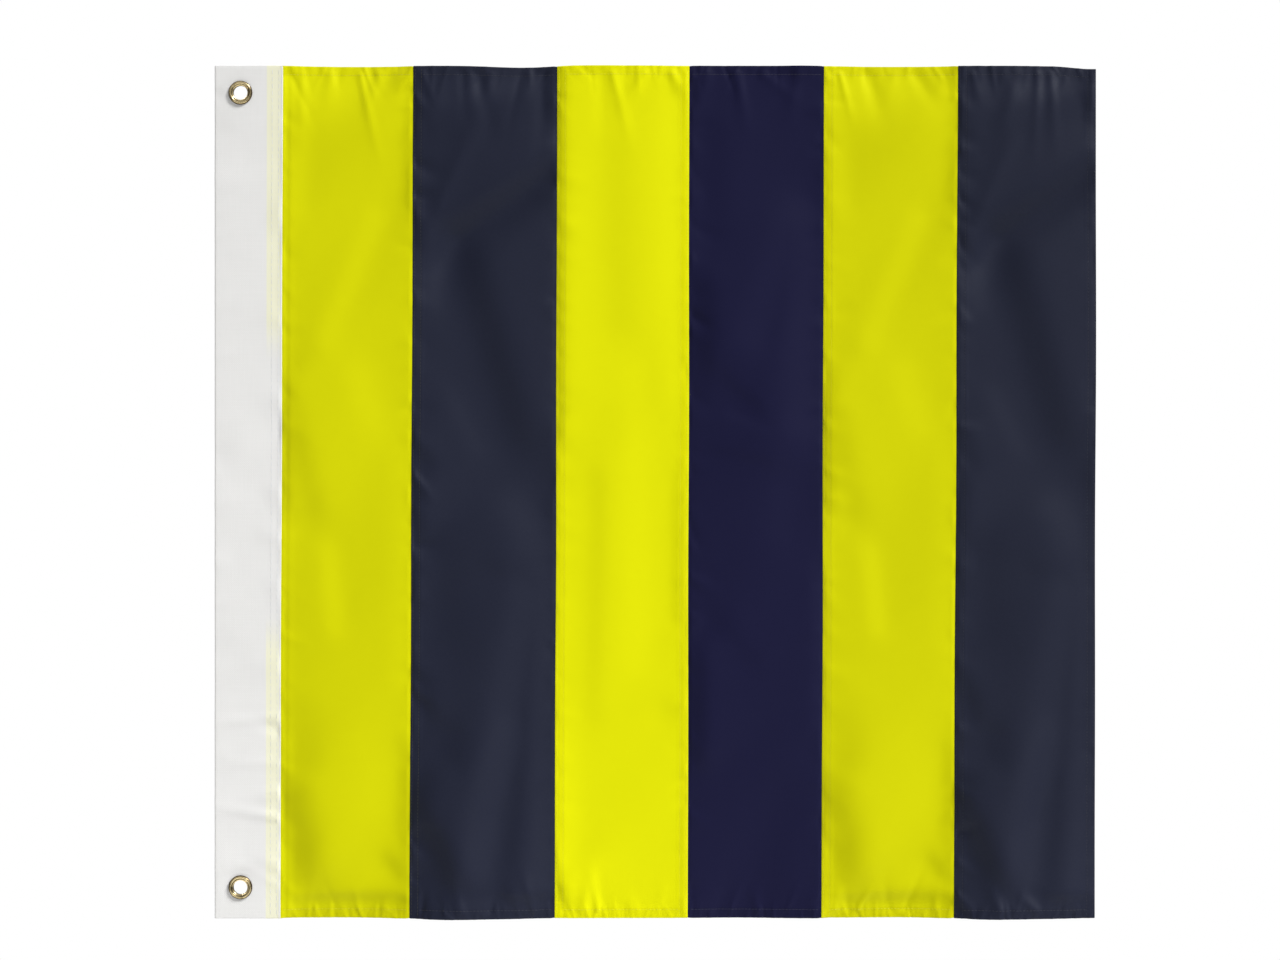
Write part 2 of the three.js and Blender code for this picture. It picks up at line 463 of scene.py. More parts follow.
YELLOW_LEANS = (
    Lean((0.10, 0.03), (0.90, 0.03), 25 * MM, 0.18),
    Lean((0.12, 0.05), (0.12, 0.17), 8 * MM, 0.13),
    Lean((0.97, 0.02), (0.97, 0.16), 5 * MM, -0.18),
    Lean((0.72, 0.18), (0.35, 0.32), 9 * MM, 0.13),
    Lean((0.60, 0.36), (0.72, 0.42), 13 * MM, 0.10),
    Lean((0.04, 0.38), (0.05, 0.52), 7 * MM, -0.25),
    Lean((0.10, 0.42), (0.25, 0.52), 11 * MM, -0.17),
    Lean((0.36, 0.57), (0.42, 0.66), 8 * MM, 0.15),
    Lean((0.90, 0.45), (0.92, 0.70), 8 * MM, 0.07),
    Lean((0.15, 0.76), (0.20, 0.82), 16 * MM, -0.13),
    Lean((0.10, 0.86), (0.22, 0.95), 17 * MM, -0.40),
    Lean((0.70, 0.80), (0.70, 0.87), 14 * MM, 0.04),
    Lean((0.96, 0.80), (0.96, 0.95), 7 * MM, -0.22),
    Lean((0.85, 0.93), (0.90, 0.94), 7 * MM, -0.31),
    Lean((0.10, 0.975), (1.00, 0.975), 5 * MM, -0.43),
    Lean((0.03, 0.92), (0.03, 0.94), 4 * MM, 0.21),
)
NAVY_LEANS = (
    Lean((0.45, 0.03), (0.78, 0.02), 11 * MM, 0.22),
    Lean((0.20, 0.02), (0.22, 0.04), 6 * MM, 0.11),
    Lean((0.04, 0.06), (0.08, 0.07), 6 * MM, -0.19),
    Lean((0.92, 0.03), (0.95, 0.06), 4 * MM, -0.17),
    Lean((0.45, 0.085), (0.20, 0.16), 3.5 * MM, 0.13),
    Lean((0.35, 0.08), (0.12, 0.18), 5 * MM, -0.11),
    Lean((0.95, 0.115), (0.34, 0.19), 11 * MM, -0.59),
    Lean((0.36, 0.21), (0.75, 0.43), 15 * MM, -0.28),
    Lean((0.15, 0.24), (0.17, 0.28), 8 * MM, 0.09),
    Lean((0.25, 0.38), (0.45, 0.45), 8 * MM, 0.09),
    Lean((0.98, 0.20), (0.98, 0.45), 4 * MM, 0.10),
    Lean((0.74, 0.52), (0.88, 0.57), 20 * MM, 0.27),
    Lean((0.25, 0.56), (0.30, 0.67), 14 * MM, -0.10),
    Lean((0.55, 0.585), (0.60, 0.59), 7 * MM, -0.09),
    Lean((0.82, 0.62), (0.60, 0.79), 18 * MM, 0.34),
    Lean((0.93, 0.60), (0.90, 0.96), 15 * MM, 0.39),
    Lean((0.66, 0.77), (0.46, 0.94), 16 * MM, 0.43),
    Lean((0.75, 0.84), (0.60, 0.88), 4 * MM, -0.11),
    Lean((0.06, 0.71), (0.16, 0.76), 7 * MM, -0.22),
    Lean((0.28, 0.775), (0.34, 0.78), 5 * MM, -0.10),
    Lean((0.15, 0.81), (0.28, 0.83), 9 * MM, 0.13),
    Lean((0.06, 0.87), (0.30, 0.95), 11 * MM, -0.47),
    Lean((0.04, 0.98), (0.08, 0.99), 8 * MM, -0.25),
    Lean((0.35, 0.98), (0.55, 0.98), 7 * MM, 0.22),
    Lean((0.68, 0.975), (1.00, 0.975), 3.5 * MM, -0.31),
    Lean((0.05, 0.20), (0.06, 0.23), 6 * MM, -0.22),
    Lean((0.04, 0.44), (0.10, 0.46), 8 * MM, -0.21),
    Lean((0.04, 0.50), (0.05, 0.55), 7 * MM, -0.25),
    Lean((0.02, 0.59), (0.03, 0.62), 5 * MM, -0.19),
)
BRIGHT_LEANS = (
    Lean((0.03, -0.01), (0.03, 0.44), 5 * MM, -0.29),
    Lean((0.45, 0.10), (0.48, 0.30), 14 * MM, -0.09),
    Lean((0.85, 0.00), (0.88, 0.38), 11 * MM, 0.08),
    Lean((0.60, 0.36), (0.62, 0.70), 12 * MM, 0.06),
    Lean((0.32, 0.48), (0.28, 0.76), 8 * MM, -0.10),
    Lean((0.90, 0.48), (0.90, 0.65), 3 * MM, -0.16),
    Lean((0.10, 0.80), (0.12, 0.95), 9 * MM, 0.10),
    Lean((0.84, 0.75), (0.86, 0.76), 6 * MM, -0.10),
    Lean((0.03, 0.97), (0.05, 0.98), 6 * MM, -0.39),
)
INDIGO_LEANS = (
    Lean((0.20, 0.08), (0.20, 0.19), 12 * MM, -0.11),
    Lean((0.76, 0.005), (0.80, 0.01), 5 * MM, -0.28),
    Lean((0.86, 0.18), (0.84, 0.42), 22 * MM, 0.29),
    Lean((0.78, 0.18), (0.48, 0.32), 18 * MM, 0.22),
    Lean((0.10, 0.26), (0.12, 0.35), 10 * MM, -0.23),
    Lean((0.30, 0.37), (0.52, 0.40), 5 * MM, -0.15),
    Lean((0.30, 0.41), (0.60, 0.43), 4 * MM, 0.15),
    Lean((0.20, 0.45), (0.60, 0.465), 3.5 * MM, -0.12),
    Lean((0.70, 0.50), (0.66, 0.55), 14 * MM, 0.10),
    Lean((0.20, 0.64), (0.50, 0.70), 8 * MM, -0.10),
    Lean((0.07, 0.70), (0.07, 0.82), 8 * MM, -0.31),
    Lean((0.97, 0.60), (0.97, 0.77), 6 * MM, 0.18),
    Lean((0.80, 0.85), (0.60, 0.97), 18 * MM, -0.11),
)

STRIPE_SEED = 10
STRIPES = tuple(
    StripePlan(number, f"{dye}_stripe_{number}", slot, thread, hoist, fly, leans, pull, STRIPE_SEED + number)
    for number, (dye, slot, thread, hoist, fly, leans, pull) in enumerate(
        (
            ("yellow", Slot.YELLOW, Slot.YELLOW_THREAD, Finish.SEWN_IN, Finish.TUCKED, YELLOW_LEANS, 1.0),
            ("navy", Slot.NAVY, Slot.YELLOW_THREAD, Finish.FOLDED, Finish.TUCKED, NAVY_LEANS, 2.2),
            ("yellow", Slot.YELLOW, Slot.YELLOW_THREAD, Finish.FOLDED, Finish.FOLDED, BRIGHT_LEANS, 0.8),
            ("indigo", Slot.INDIGO, Slot.NAVY_THREAD, Finish.TUCKED, Finish.TUCKED, INDIGO_LEANS, 1.5),
            ("yellow", Slot.YELLOW, Slot.YELLOW_THREAD, Finish.FOLDED, Finish.TUCKED, YELLOW_LEANS, 1.0),
            ("navy", Slot.NAVY, Slot.NAVY_THREAD, Finish.FOLDED, Finish.FOLDED, NAVY_LEANS, 2.2),
        ),
        start=1,
    )
)


class FlagSurface:
    """The middle of the cloth: flat but for soft folds, puckers at the sewing and grooves at the stitches."""

    # How far each seam has moved to the hoist at the bottom, from the first seam to the fly edge.
    LEANS = tuple(lean * MM for lean in (1.9, 2.7, 1.9, 1.2, 1.9, 3.1, 0.8))
    LEAN_FROM = 28.0 * MM  # how far from the hoist the leaning starts
    WAVER = 0.22 * MM  # how unevenly a seam runs
    WAVER_TURNS = (40.0, 23.0)  # its radians a metre along X and Z
    CORNER_DROP = 2.2 * MM  # how far the top fly corner hangs
    CORNER_RUN = 32.0 * MM
    EDGE_DIP = 1.1 * MM  # how far the top edge dips in the second stripe
    EDGE_DIP_RUN = 30.0 * MM
    EDGE_DIP_FROM_SEAM = 26.0 * MM
    TOP_RUN = 60.0 * MM  # how far down both of them reach

    TOP_HEM = PuckerRow(15 * MM, 55 * MM, 1.0 * MM)
    BOTTOM_HEM = PuckerRow(13 * MM, 32 * MM, 0.9 * MM)
    HOIST_SEAM = PuckerRow(17 * MM, 24 * MM, 0.5 * MM)
    FLY_SEAM = PuckerRow(14 * MM, 14 * MM, 0.5 * MM)
    TOP_FRILL = PuckerRow(7 * MM, 22 * MM, 0.45 * MM)
    BOTTOM_FRILL = PuckerRow(4 * MM, 13 * MM, 0.5 * MM)
    HOIST_FRILL = PuckerRow(6 * MM, 8 * MM, 0.22 * MM)
    SEAM_SLANT = 0.5  # how far down a seam's puckers point, in radians
    FRILL_SLANT = 0.2
    SEAM_HOLD = 2.5 * MM  # the run over which a seam holds its puckers flat

    CREASES_SEED = 5
    LOW_CREASES = PuckerRow(15 * MM, 60 * MM, 0.9 * MM)
    HIGH_CREASES = PuckerRow(34 * MM, 24 * MM, 0.55 * MM)
    HOIST_CREASES = PuckerRow(30 * MM, 30 * MM, 0.6 * MM)
    CREASES_END = 10.0 * MM  # how far the creases keep from the ends
    LOW_CREASES_TOP = 150.0 * MM
    CREASES_SLANT = 0.3
    GROMMET_CLEAR = 9.0 * MM  # how far from a grommet's middle the canvas is flat
    GROMMET_RUN = 8.0 * MM
    CANVAS_EDGE_RUN = 1.5 * MM

    SWAY = 1.1 * MM
    SWAY_RUN = 60.0 * MM
    SWAY_WAVES = ((1.0, 19.0, 7.0, 0.4), (0.7, 11.0, -13.0, 2.1))  # share, radians a metre, start

    HEM_GROOVE = 0.05 * MM
    HEM_GROOVE_WIDTH = 1.1 * MM
    HEM_EDGE_RUN = 1.6 * MM
    SEAM_GROOVE = 0.12 * MM
    SEAM_GROOVE_WIDTH = 0.8 * MM
    SEAM_EDGE_RUN = 1.2 * MM
    HEM_RAMP = 3.5 * MM  # the run over which a hem thickens towards a seam
    HEM_RAMP_GAP = 0.6 * MM

    JOIN_REACH = (-1.0 * MM, 12.0 * MM)  # where the first stripe stands up beside the heading
    JOIN_RISE = 0.32 * MM
    JOIN_RUN = 3.8 * MM
    JOIN_SWELL = 0.17 * MM
    JOIN_SWELL_FROM = (4.0 * MM, 1.6 * MM)  # where the swell starts and over what run
    JOIN_SWELL_TO = (6.0 * MM, 5.0 * MM)  # and where it ends

    def __init__(self, sewing: Sewing) -> None:
        """Takes the flag's edges and seams from the frame.

        Args:
            sewing: the sizes of the sewing.
        """
        self.sewing = sewing
        heading_low, heading_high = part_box("canvas_heading")
        self.hoist = heading_low.x
        self.bottom = heading_low.z
        self.top = heading_high.z
        self.height = self.top - self.bottom
        self.middle = (self.top + self.bottom) / 2
        edges = [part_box(plan.node) for plan in STRIPES]
        self.seams = [(heading_high.x + edges[0][0].x) / 2]
        self.seams += [(a[1].x + b[0].x) / 2 for a, b in zip(edges, edges[1:])]
        self.seams.append(edges[-1][1].x)
        self.strips = self._folded_strips()
        self.puckers = [self._stripe_puckers(plan) for plan in STRIPES]
        widths = [high - low for low, high in zip(self.seams, self.seams[1:])]
        self.billows = [Billow((wide, self.height), plan.leans) for wide, plan in zip(widths, STRIPES)]
        self.heading_creases = self._heading_creases()

    def _folded_strips(self) -> list[tuple[float, float, bool]]:
        """Where a stripe's edge is turned to the back: from, to, and whether it is a hoist edge."""
        fold, found = self.sewing.seam_fold, []
        for plan, low, high in zip(STRIPES, self.seams, self.seams[1:]):
            if plan.hoist is Finish.FOLDED:
                found.append((low, low + fold, True))
            if plan.fly is Finish.FOLDED:
                found.append((high - fold, high, False))
        return found

    def _stripe_puckers(self, plan: StripePlan) -> list[Pucker]:
        """The puckers of one stripe, at its two hems and its two upright edges."""
        rng = np.random.default_rng(plan.seed)
        low, high = self.seams[plan.number - 1], self.seams[plan.number]
        hem = self.sewing.hem_stitch
        top, bottom = self.top - hem, self.bottom + hem
        hoist_seam = replace(self.HOIST_SEAM, rise=self.HOIST_SEAM.rise * plan.pull)
        up = math.pi / 2
        made = []
        for row, start, end, inward in (
            (self.TOP_HEM, (low, top), (high, top), -up),
            (self.BOTTOM_HEM, (low, bottom), (high, bottom), up),
            (hoist_seam, (low, bottom), (low, top), -self.SEAM_SLANT),
            (self.FLY_SEAM, (high, bottom), (high, top), math.pi + self.SEAM_SLANT),
            (self.TOP_FRILL, (low, self.top), (high, self.top), -up),
            (self.BOTTOM_FRILL, (low, self.bottom), (high, self.bottom), up),
            (self.HOIST_FRILL, (low, bottom), (low, top), self.FRILL_SLANT),
        ):
            made += row.draw(rng, start, end, inward)
        return made

    def _heading_creases(self) -> list[Pucker]:
        """Short level creases in the canvas, most of them in its lower half beside the first stripe."""
        rng = np.random.default_rng(self.CREASES_SEED)
        edge, hoist = self.seams[0], self.hoist
        low, middle = self.bottom + self.CREASES_END, self.bottom + self.LOW_CREASES_TOP
        top = self.top - self.CREASES_END
        made = self.LOW_CREASES.draw(rng, (edge, low), (edge, middle), math.pi)
        made += self.HIGH_CREASES.draw(rng, (edge, middle), (edge, top), math.pi)
        made += self.HOIST_CREASES.draw(rng, (hoist, low), (hoist, top), self.CREASES_SLANT)
        return made

    def hem_radius(self, x: Array) -> Array:
        """Half the depth of a hem's fold: small in plain cloth, larger where it goes round a seam."""
        over = np.zeros_like(x)
        for low, high, _ in self.strips:
            outside = np.maximum(np.maximum(low - x, x - high), 0.0)
            over = np.maximum(over, 1.0 - eased((outside - self.HEM_RAMP_GAP) / self.HEM_RAMP))
        plain, thick = self.sewing.plain_hem_depth, self.sewing.seam_hem_depth
        return (plain + (thick - plain) * over) / 2

    def depth(self, x: Array, z: Array) -> Array:
        """How far back the middle of the cloth lies.

        Args:
            x: places along the flag.
            z: heights.

        Returns:
            The depth at each place.
        """
        out = np.zeros_like(x)
        for billow, low, high, puckers in zip(self.billows, self.seams, self.seams[1:], self.puckers):
            inside = (x > low) & (x < high)
            if not inside.any():
                continue
            xi, zi = x[inside], z[inside]
            small = sum(pucker.depth(xi, zi) for pucker in puckers)
            hold = eased((xi - low) / self.SEAM_HOLD) * eased((high - xi) / self.SEAM_HOLD)
            out[inside] += billow.depth(xi - low, self.top - zi) + hold * small
        out += self._sway(x, z)
        out += self._sewing_relief(x, z)
        canvas = x < self.seams[0]
        if canvas.any():
            out[canvas] += self._canvas_relief(x[canvas], z[canvas])
        return out

    def _sway(self, x: Array, z: Array) -> Array:
        """The long lazy waves of the whole flag, none at the heading."""
        share = eased((x - self.seams[0]) / self.SWAY_RUN)
        wave = sum(part * np.sin(along * x + up * z + start) for part, along, up, start in self.SWAY_WAVES)
        return self.SWAY * share * wave

    def _sewing_relief(self, x: Array, z: Array) -> Array:
        """Grooves where rows of stitches pull the cloth in, and the line of each turned edge."""
        sewing = self.sewing
        out = np.zeros_like(x)
        beside = x - self.seams[0]
        if (beside > 0).any():
            cloth = eased(beside / MM) * self.HEM_GROOVE
            for inset in (self.top - z, z - self.bottom):
                out += cloth * bell(inset - sewing.hem_stitch, self.HEM_GROOVE_WIDTH)
                out -= cloth * (1.0 - eased((inset - sewing.hem_fold) / self.HEM_EDGE_RUN))
        near = (beside > self.JOIN_REACH[0]) & (beside < self.JOIN_REACH[1])
        rise = eased(1.0 + beside / MM) * (1.0 - eased(beside / self.JOIN_RUN))
        grows, fades = (eased((beside - at) / run) for at, run in (self.JOIN_SWELL_FROM, self.JOIN_SWELL_TO))
        out -= np.where(near, self.JOIN_RISE * rise + self.JOIN_SWELL * grows * (1.0 - fades), 0.0)
        for low, high, from_hoist in self.strips:
            inset = x - low if from_hoist else high - x
            near = eased((inset + MM / 2) / MM) * self.SEAM_GROOVE
            for row in sewing.seam_stitches:
                out += near * bell(inset - row, self.SEAM_GROOVE_WIDTH)
            out -= near * (1.0 - eased((inset - sewing.seam_fold) / self.SEAM_EDGE_RUN))
        return out

    def _canvas_relief(self, x: Array, z: Array) -> Array:
        """Creases of the heading, kept away from the grommets."""
        out = sum(crease.depth(x, z) for crease in self.heading_creases)
        away = np.ones_like(x)
        for node in ("upper_eyelet", "lower_eyelet"):
            cx, cz = middle_of(node)
            away *= eased((np.hypot(x - cx, z - cz) - self.GROMMET_CLEAR) / self.GROMMET_RUN)
        return out * away * eased((self.seams[0] - x) / self.CANVAS_EDGE_RUN)

    def drift(self, x: Array, z: Array) -> tuple[Array, Array]:
        """How far the cloth lies off its straight cut, along X and along Z."""
        down = (self.top - z) / self.height
        start = self.hoist + self.LEAN_FROM
        lean = eased((x - start) / (self.seams[0] - start))
        waver = self.WAVER * np.sin(self.WAVER_TURNS[1] * z + self.WAVER_TURNS[0] * x)
        dx = lean * (waver * np.sin(math.pi * down) - np.interp(x, self.seams, self.LEANS) * down)
        corner = eased((x - (self.seams[-1] - self.CORNER_RUN)) / self.CORNER_RUN)
        dip = bell(x - (self.seams[2] - self.EDGE_DIP_FROM_SEAM), self.EDGE_DIP_RUN)
        dz = -bell(self.top - z, self.TOP_RUN) * (self.CORNER_DROP * corner + self.EDGE_DIP * dip)
        return dx, dz

    def place(self, x: Array, z: Array, depth: Array) -> Array:
        """Where points of the cloth lie.

        Args:
            x: places along the flag before drift.
            z: heights before drift.
            depth: distances behind the middle of the cloth.

        Returns:
            The points, as rows of three.
        """
        step = 0.25 * MM
        x, z, depth = np.broadcast_arrays(*(np.asarray(part, float) for part in (x, z, depth)))
        y = self.depth(x, z)
        slope_x = (self.depth(x + step, z) - y) / step
        slope_z = (self.depth(x, z + step) - y) / step
        size = np.sqrt(1.0 + slope_x**2 + slope_z**2)
        dx, dz = self.drift(x, z)
        return np.stack(
            [x + dx - depth * slope_x / size, y + depth / size, z + dz - depth * slope_z / size], axis=-1
        )


def link(name: str, data: bpy.types.ID) -> Piece:
    """Puts a mesh, a light or a camera in the scene as an object of that name."""
    obj = bpy.data.objects.new(name, data)
    bpy.context.scene.collection.objects.link(obj)
    return obj


def mesh_from(name: str, points: Array, faces: list, uv: Array | None = None) -> Mesh:
    """A smooth mesh with sharp edges where faces meet at a corner.

    Args:
        name: the mesh's name.
        points: its vertices, as rows of three.
        faces: its faces, as lists of vertex numbers.
        uv: a pair of flat coordinates for each vertex.

    Returns:
        The mesh.
    """
    mesh = bpy.data.meshes.new(name)
    mesh.from_pydata(points.tolist(), [], faces)
    mesh.polygons.foreach_set("use_smooth", np.ones(len(mesh.polygons), bool))
    if uv is not None:
        corners = np.zeros(len(mesh.loops), np.int32)
        mesh.loops.foreach_get("vertex_index", corners)
        layer = mesh.uv_layers.new(name=CLOTH_MAP)
        layer.data.foreach_set("uv", uv[corners].astype(np.float32).ravel())
    mesh.set_sharp_from_angle(angle=SHARP_FROM)
    mesh.validate()
    mesh.update()
    return mesh


def thick_sheet(
    name: str, middle: Array, uv: Array, thickness: float, keep: Array | None = None
) -> Mesh:
    """A closed sheet of even thickness round a grid of points.

    Args:
        name: the mesh's name.
        middle: the middle of the sheet, as a grid of points.
        uv: the flat coordinates of the same grid.
        thickness: the sheet's thickness.
        keep: which cells of the grid are cloth, where some are cut out.

    Returns:
        The mesh, its right side on the front.
    """
    rows, columns = middle.shape[:2]
    normal = np.cross(np.gradient(middle, axis=0), np.gradient(middle, axis=1))
    normal /= np.linalg.norm(normal, axis=-1, keepdims=True)
    front = (middle + normal * thickness / 2).reshape(-1, 3)
    back = (middle - normal * thickness / 2).reshape(-1, 3)
    count = rows * columns
    number = np.arange(count).reshape(rows, columns)
    cells = np.ones((rows - 1, columns - 1), bool) if keep is None else keep
    quads = np.stack([number[:-1, :-1], number[1:, :-1], number[1:, 1:], number[:-1, 1:]], axis=-1)[cells]
    backs = quads[:, ::-1] + count
    edges = np.concatenate([quads[:, [corner, (corner + 1) % 4]] for corner in range(4)])
    keys = edges[:, 0] * count + edges[:, 1]
    twins = edges[:, 1] * count + edges[:, 0]
    rim = edges[~np.isin(keys, twins)]
    rims = np.stack([rim[:, 1], rim[:, 0], rim[:, 0] + count, rim[:, 1] + count], axis=-1)
    faces = np.concatenate([quads, backs, rims])
    used = np.unique(faces)
    renumber = np.zeros(2 * count, int)
    renumber[used] = np.arange(len(used))
    points = np.concatenate([front, back])[used]
    flat = np.concatenate([uv.reshape(-1, 2)] * 2)[used]
    return mesh_from(name, points, renumber[faces].tolist(), flat)


def path_length(x: Array, depth: Array) -> Array:
    """The distance travelled along a path, at each of its points."""
    return np.concatenate([[0.0], np.cumsum(np.hypot(np.diff(x), np.diff(depth)))])


def half_turn(count: int) -> Array:
    """Angles inside a half turn from pi down to 0, without its ends."""
    return np.linspace(math.pi, 0.0, count + 2)[1:-1]


class SewnCloth:
    """One stripe's cloth: a flat cut with its hems and its folded upright edges turned to the back."""

    FINE = 1.0 * MM
    COARSE_ACROSS = 1.1 * MM
    COARSE_UP = 2.6 * MM
    SIDE_MARGIN = 15 * MM
    HEM_MARGIN = 30 * MM
    BEND_STEPS = 4
    TURN_STEPS = 5
    RISE = 2.6 * MM  # the run over which a tucked edge sinks under its neighbour
    FLAT_FROM = 1.2 * MM  # how far from a hem's fold the plain cloth starts
    TURN_FROM = 0.6 * MM  # and how far from the bend the turned part does

    def __init__(self, plan: StripePlan, surface: FlagSurface) -> None:
        """Takes the stripe's plan and the surface that it lies on."""
        self.plan = plan
        self.surface = surface
        self.sewing = surface.sewing
        self.low = surface.seams[plan.number - 1]
        self.high = surface.seams[plan.number]

    def _fold(self, edge: float, way: int) -> tuple[Array, Array]:
        """A folded edge, from where the cloth is cut, along the back and round to the front.

        Args:
            edge: the place of the fold.
            way: 1 at a hoist edge and -1 at a fly edge.

        Returns:
            The path's places and depths.
        """
        radius = self.sewing.fold_depth / 2
        turned = np.linspace(self.sewing.seam_fold, radius, self.TURN_STEPS)
        bend = half_turn(self.BEND_STEPS)
        places = np.concatenate([turned, radius - radius * np.sin(bend)])
        depths = np.concatenate([np.full_like(turned, 2 * radius), radius * (1 - np.cos(bend))])
        return edge + way * places, depths

    def _across(self) -> tuple[Array, Array]:
        """The cloth's path from its hoist edge to its fly edge, as places and depths."""
        sewing, plan = self.sewing, self.plan
        radius = sewing.fold_depth / 2
        shift = {Finish.FOLDED: radius, Finish.TUCKED: -sewing.tuck, Finish.SEWN_IN: -sewing.sewn_in}
        start = self.low + shift[plan.hoist]
        stop = self.high + (-radius if plan.fly is Finish.FOLDED else sewing.tuck)
        main = spaced(start, stop, self.FINE, self.COARSE_ACROSS, self.SIDE_MARGIN)
        sunk = np.zeros_like(main)
        if plan.hoist is Finish.TUCKED:
            sunk += 1.0 - eased((main - self.low) / self.RISE)
        if plan.fly is Finish.TUCKED:
            sunk += eased((main - self.high + self.RISE) / self.RISE)
        path = [(main, sewing.tuck_depth * sunk)]
        if plan.hoist is Finish.FOLDED:
            path.insert(0, self._fold(self.low, 1))
        if plan.fly is Finish.FOLDED:
            places, depths = self._fold(self.high, -1)
            path.append((places[::-1], depths[::-1]))
        return np.concatenate([part[0] for part in path]), np.concatenate([part[1] for part in path])

    def _upright(self, x: Array, depth: Array) -> tuple[Array, Array, Array]:
        """Turns the hems: heights, depths and flat lengths of the whole grid.

        Args:
            x: the places across the stripe.
            depth: the depth of the cloth at each of them, before the hems are turned.

        Returns:
            A grid of heights, a grid of depths and the flat length at each step up the stripe.
        """
        radius = self.surface.hem_radius(x)[:, None]
        inner = radius - depth[:, None]
        bottom, top = self.surface.bottom, self.surface.top
        flat = (bottom + self.FLAT_FROM, top - self.FLAT_FROM)
        main = spaced(*flat, self.FINE, self.COARSE_UP, self.HEM_MARGIN)
        bend = np.linspace(math.pi, 0.0, self.BEND_STEPS + 2)[None, :]
        turned = np.linspace(self.sewing.hem_fold, self.TURN_FROM, self.TURN_STEPS)[None, :]
        ones = np.ones_like(radius)
        parts_z = [
            bottom + radius + turned * ones,
            bottom + radius - inner * np.sin(bend),
            main[None, :] * ones,
            top - radius + inner * np.sin(bend[:, ::-1]),
            top - radius - turned[:, ::-1] * ones,
        ]
        level = depth[:, None] * np.ones((1, len(main)))
        back = (2 * radius - depth[:, None]) * np.ones((1, self.TURN_STEPS))
        round_it = radius - inner * np.cos(bend)
        parts_d = [back, round_it, level, round_it[:, ::-1], back]
        heights = np.concatenate(parts_z, axis=1)
        depths = np.concatenate(parts_d, axis=1)
        middle = len(x) // 2
        return heights, depths, path_length(heights[middle], depths[middle])

    def build(self) -> Piece:
        """Makes the cloth.

        Returns:
            The cloth as an object with its flat coordinates.
        """
        x, depth = self._across()
        heights, depths, up = self._upright(x, depth)
        across = path_length(x, depth)
        places = np.repeat(x[:, None], heights.shape[1], axis=1)
        middle = self.surface.place(places, heights, depths)
        uv = np.stack(np.meshgrid(across, up, indexing="ij"), axis=-1)
        self.flat = (float(across[-1]), float(up[-1]))
        return link(self.plan.piece, thick_sheet(self.plan.piece, middle, uv, self.sewing.bunting))


@dataclass(frozen=True)
class StitchRow:
    """A row of lockstitches: a line of short bars of thread on the front and another on the back.

    Attributes:
        name: the piece's name.
        along: the direction that the row runs in.
        low: where the row starts.
        high: where it ends.
        at: its place across that direction.
        pitch: the length of one stitch.
        thread: the thread's thickness.
        front: the depth of the face that the front stitches lie on.
        seed: the seed of its unevenness.
    """

    name: str
    along: Along
    low: float
    high: float
    at: float
    pitch: float
    thread: float
    front: float
    seed: int

    SIDES = 5
    # Each ring's place along half a stitch, its radius and how deep it is sunk, in thread radii.
    RINGS = (
        (-1.0, 0.25, 0.7),
        (-0.62, 0.95, -0.25),
        (0.0, 1.0, -0.55),
        (0.62, 0.95, -0.25),
        (1.0, 0.25, 0.7),
    )
    SHARE = 0.84  # how much of the pitch a stitch covers before it goes into the cloth
    LENGTHS = (0.93, 1.04)  # in usual lengths
    SLANT = 0.04  # how unevenly stitches slant
    WANDER = 0.05 * MM  # and how far they lie off the row

    def build(self, surface: FlagSurface, back: Callable[[Array], Array] | float) -> Piece:
        """Makes the row's stitches on both faces of the cloth.

        Args:
            surface: the surface that the cloth lies on.
            back: the depth of the face that the back stitches lie on, or what gives it along the row.

        Returns:
            The row as one object.
        """
        rng = np.random.default_rng(self.seed)
        count = max(2, round((self.high - self.low) / self.pitch))
        pitch = (self.high - self.low) / count
        middles = self.low + pitch * (np.arange(count) + 0.5)
        points, faces = [], []
        offset = 0
        for sign, shift in ((-1.0, 0.0), (1.0, pitch / 2)):
            here = middles + shift
            here = here[here < self.high]
            along, across, rise = self._bars(here, pitch, rng)
            behind = back(along) if callable(back) else back
            depth = (self.front if sign < 0 else behind) - sign * rise
            x, z = (across, along) if self.along is Along.UPRIGHT else (along, across)
            points.append(surface.place(x, z, depth).reshape(-1, 3))
            faces += self._faces(len(here), offset, sign)
            offset += points[-1].shape[0]
        return link(self.name, mesh_from(self.name, np.concatenate(points), faces))

    def _bars(self, middles: Array, pitch: float, rng: np.random.Generator) -> tuple[Array, Array, Array]:
        """Coordinates of the stitches' rings: along the row, across it and into the cloth."""
        turn = np.linspace(0, 2 * math.pi, self.SIDES, endpoint=False)
        place, girth, sunk = np.array(self.RINGS).T[:, None, :, None]
        radius, count = self.thread / 2, len(middles)
        length = pitch * self.SHARE / 2 * rng.uniform(*self.LENGTHS, (count, 1, 1))
        slant = rng.normal(0.0, self.SLANT, (count, 1, 1))
        run = length * place * np.ones(self.SIDES)
        across = self.at + radius * girth * np.cos(turn) + slant * run
        across = across + rng.normal(0.0, self.WANDER, (count, 1, 1))
        sink = radius * (sunk + girth * np.sin(turn))
        return middles[:, None, None] + run, across, sink * np.ones((count, 1, 1))

    def _faces(self, count: int, offset: int, sign: float) -> list[list[int]]:
        """The faces of count stitches, turned to point out on the front or the back."""
        rings, sides = len(self.RINGS), self.SIDES
        one = []
        for ring in range(rings - 1):
            for side in range(sides):
                a, b = ring * sides + side, ring * sides + (side + 1) % sides
                one.append([a, b, b + sides, a + sides])
        one.append(list(range(sides))[::-1])
        one.append(list(range((rings - 1) * sides, rings * sides)))
        flip = (sign > 0) == (self.along is Along.UPRIGHT)
        made = []
        for stitch in range(count):
            start = offset + stitch * rings * sides
            made += [[start + v for v in (face[::-1] if flip else face)] for face in one]
        return made


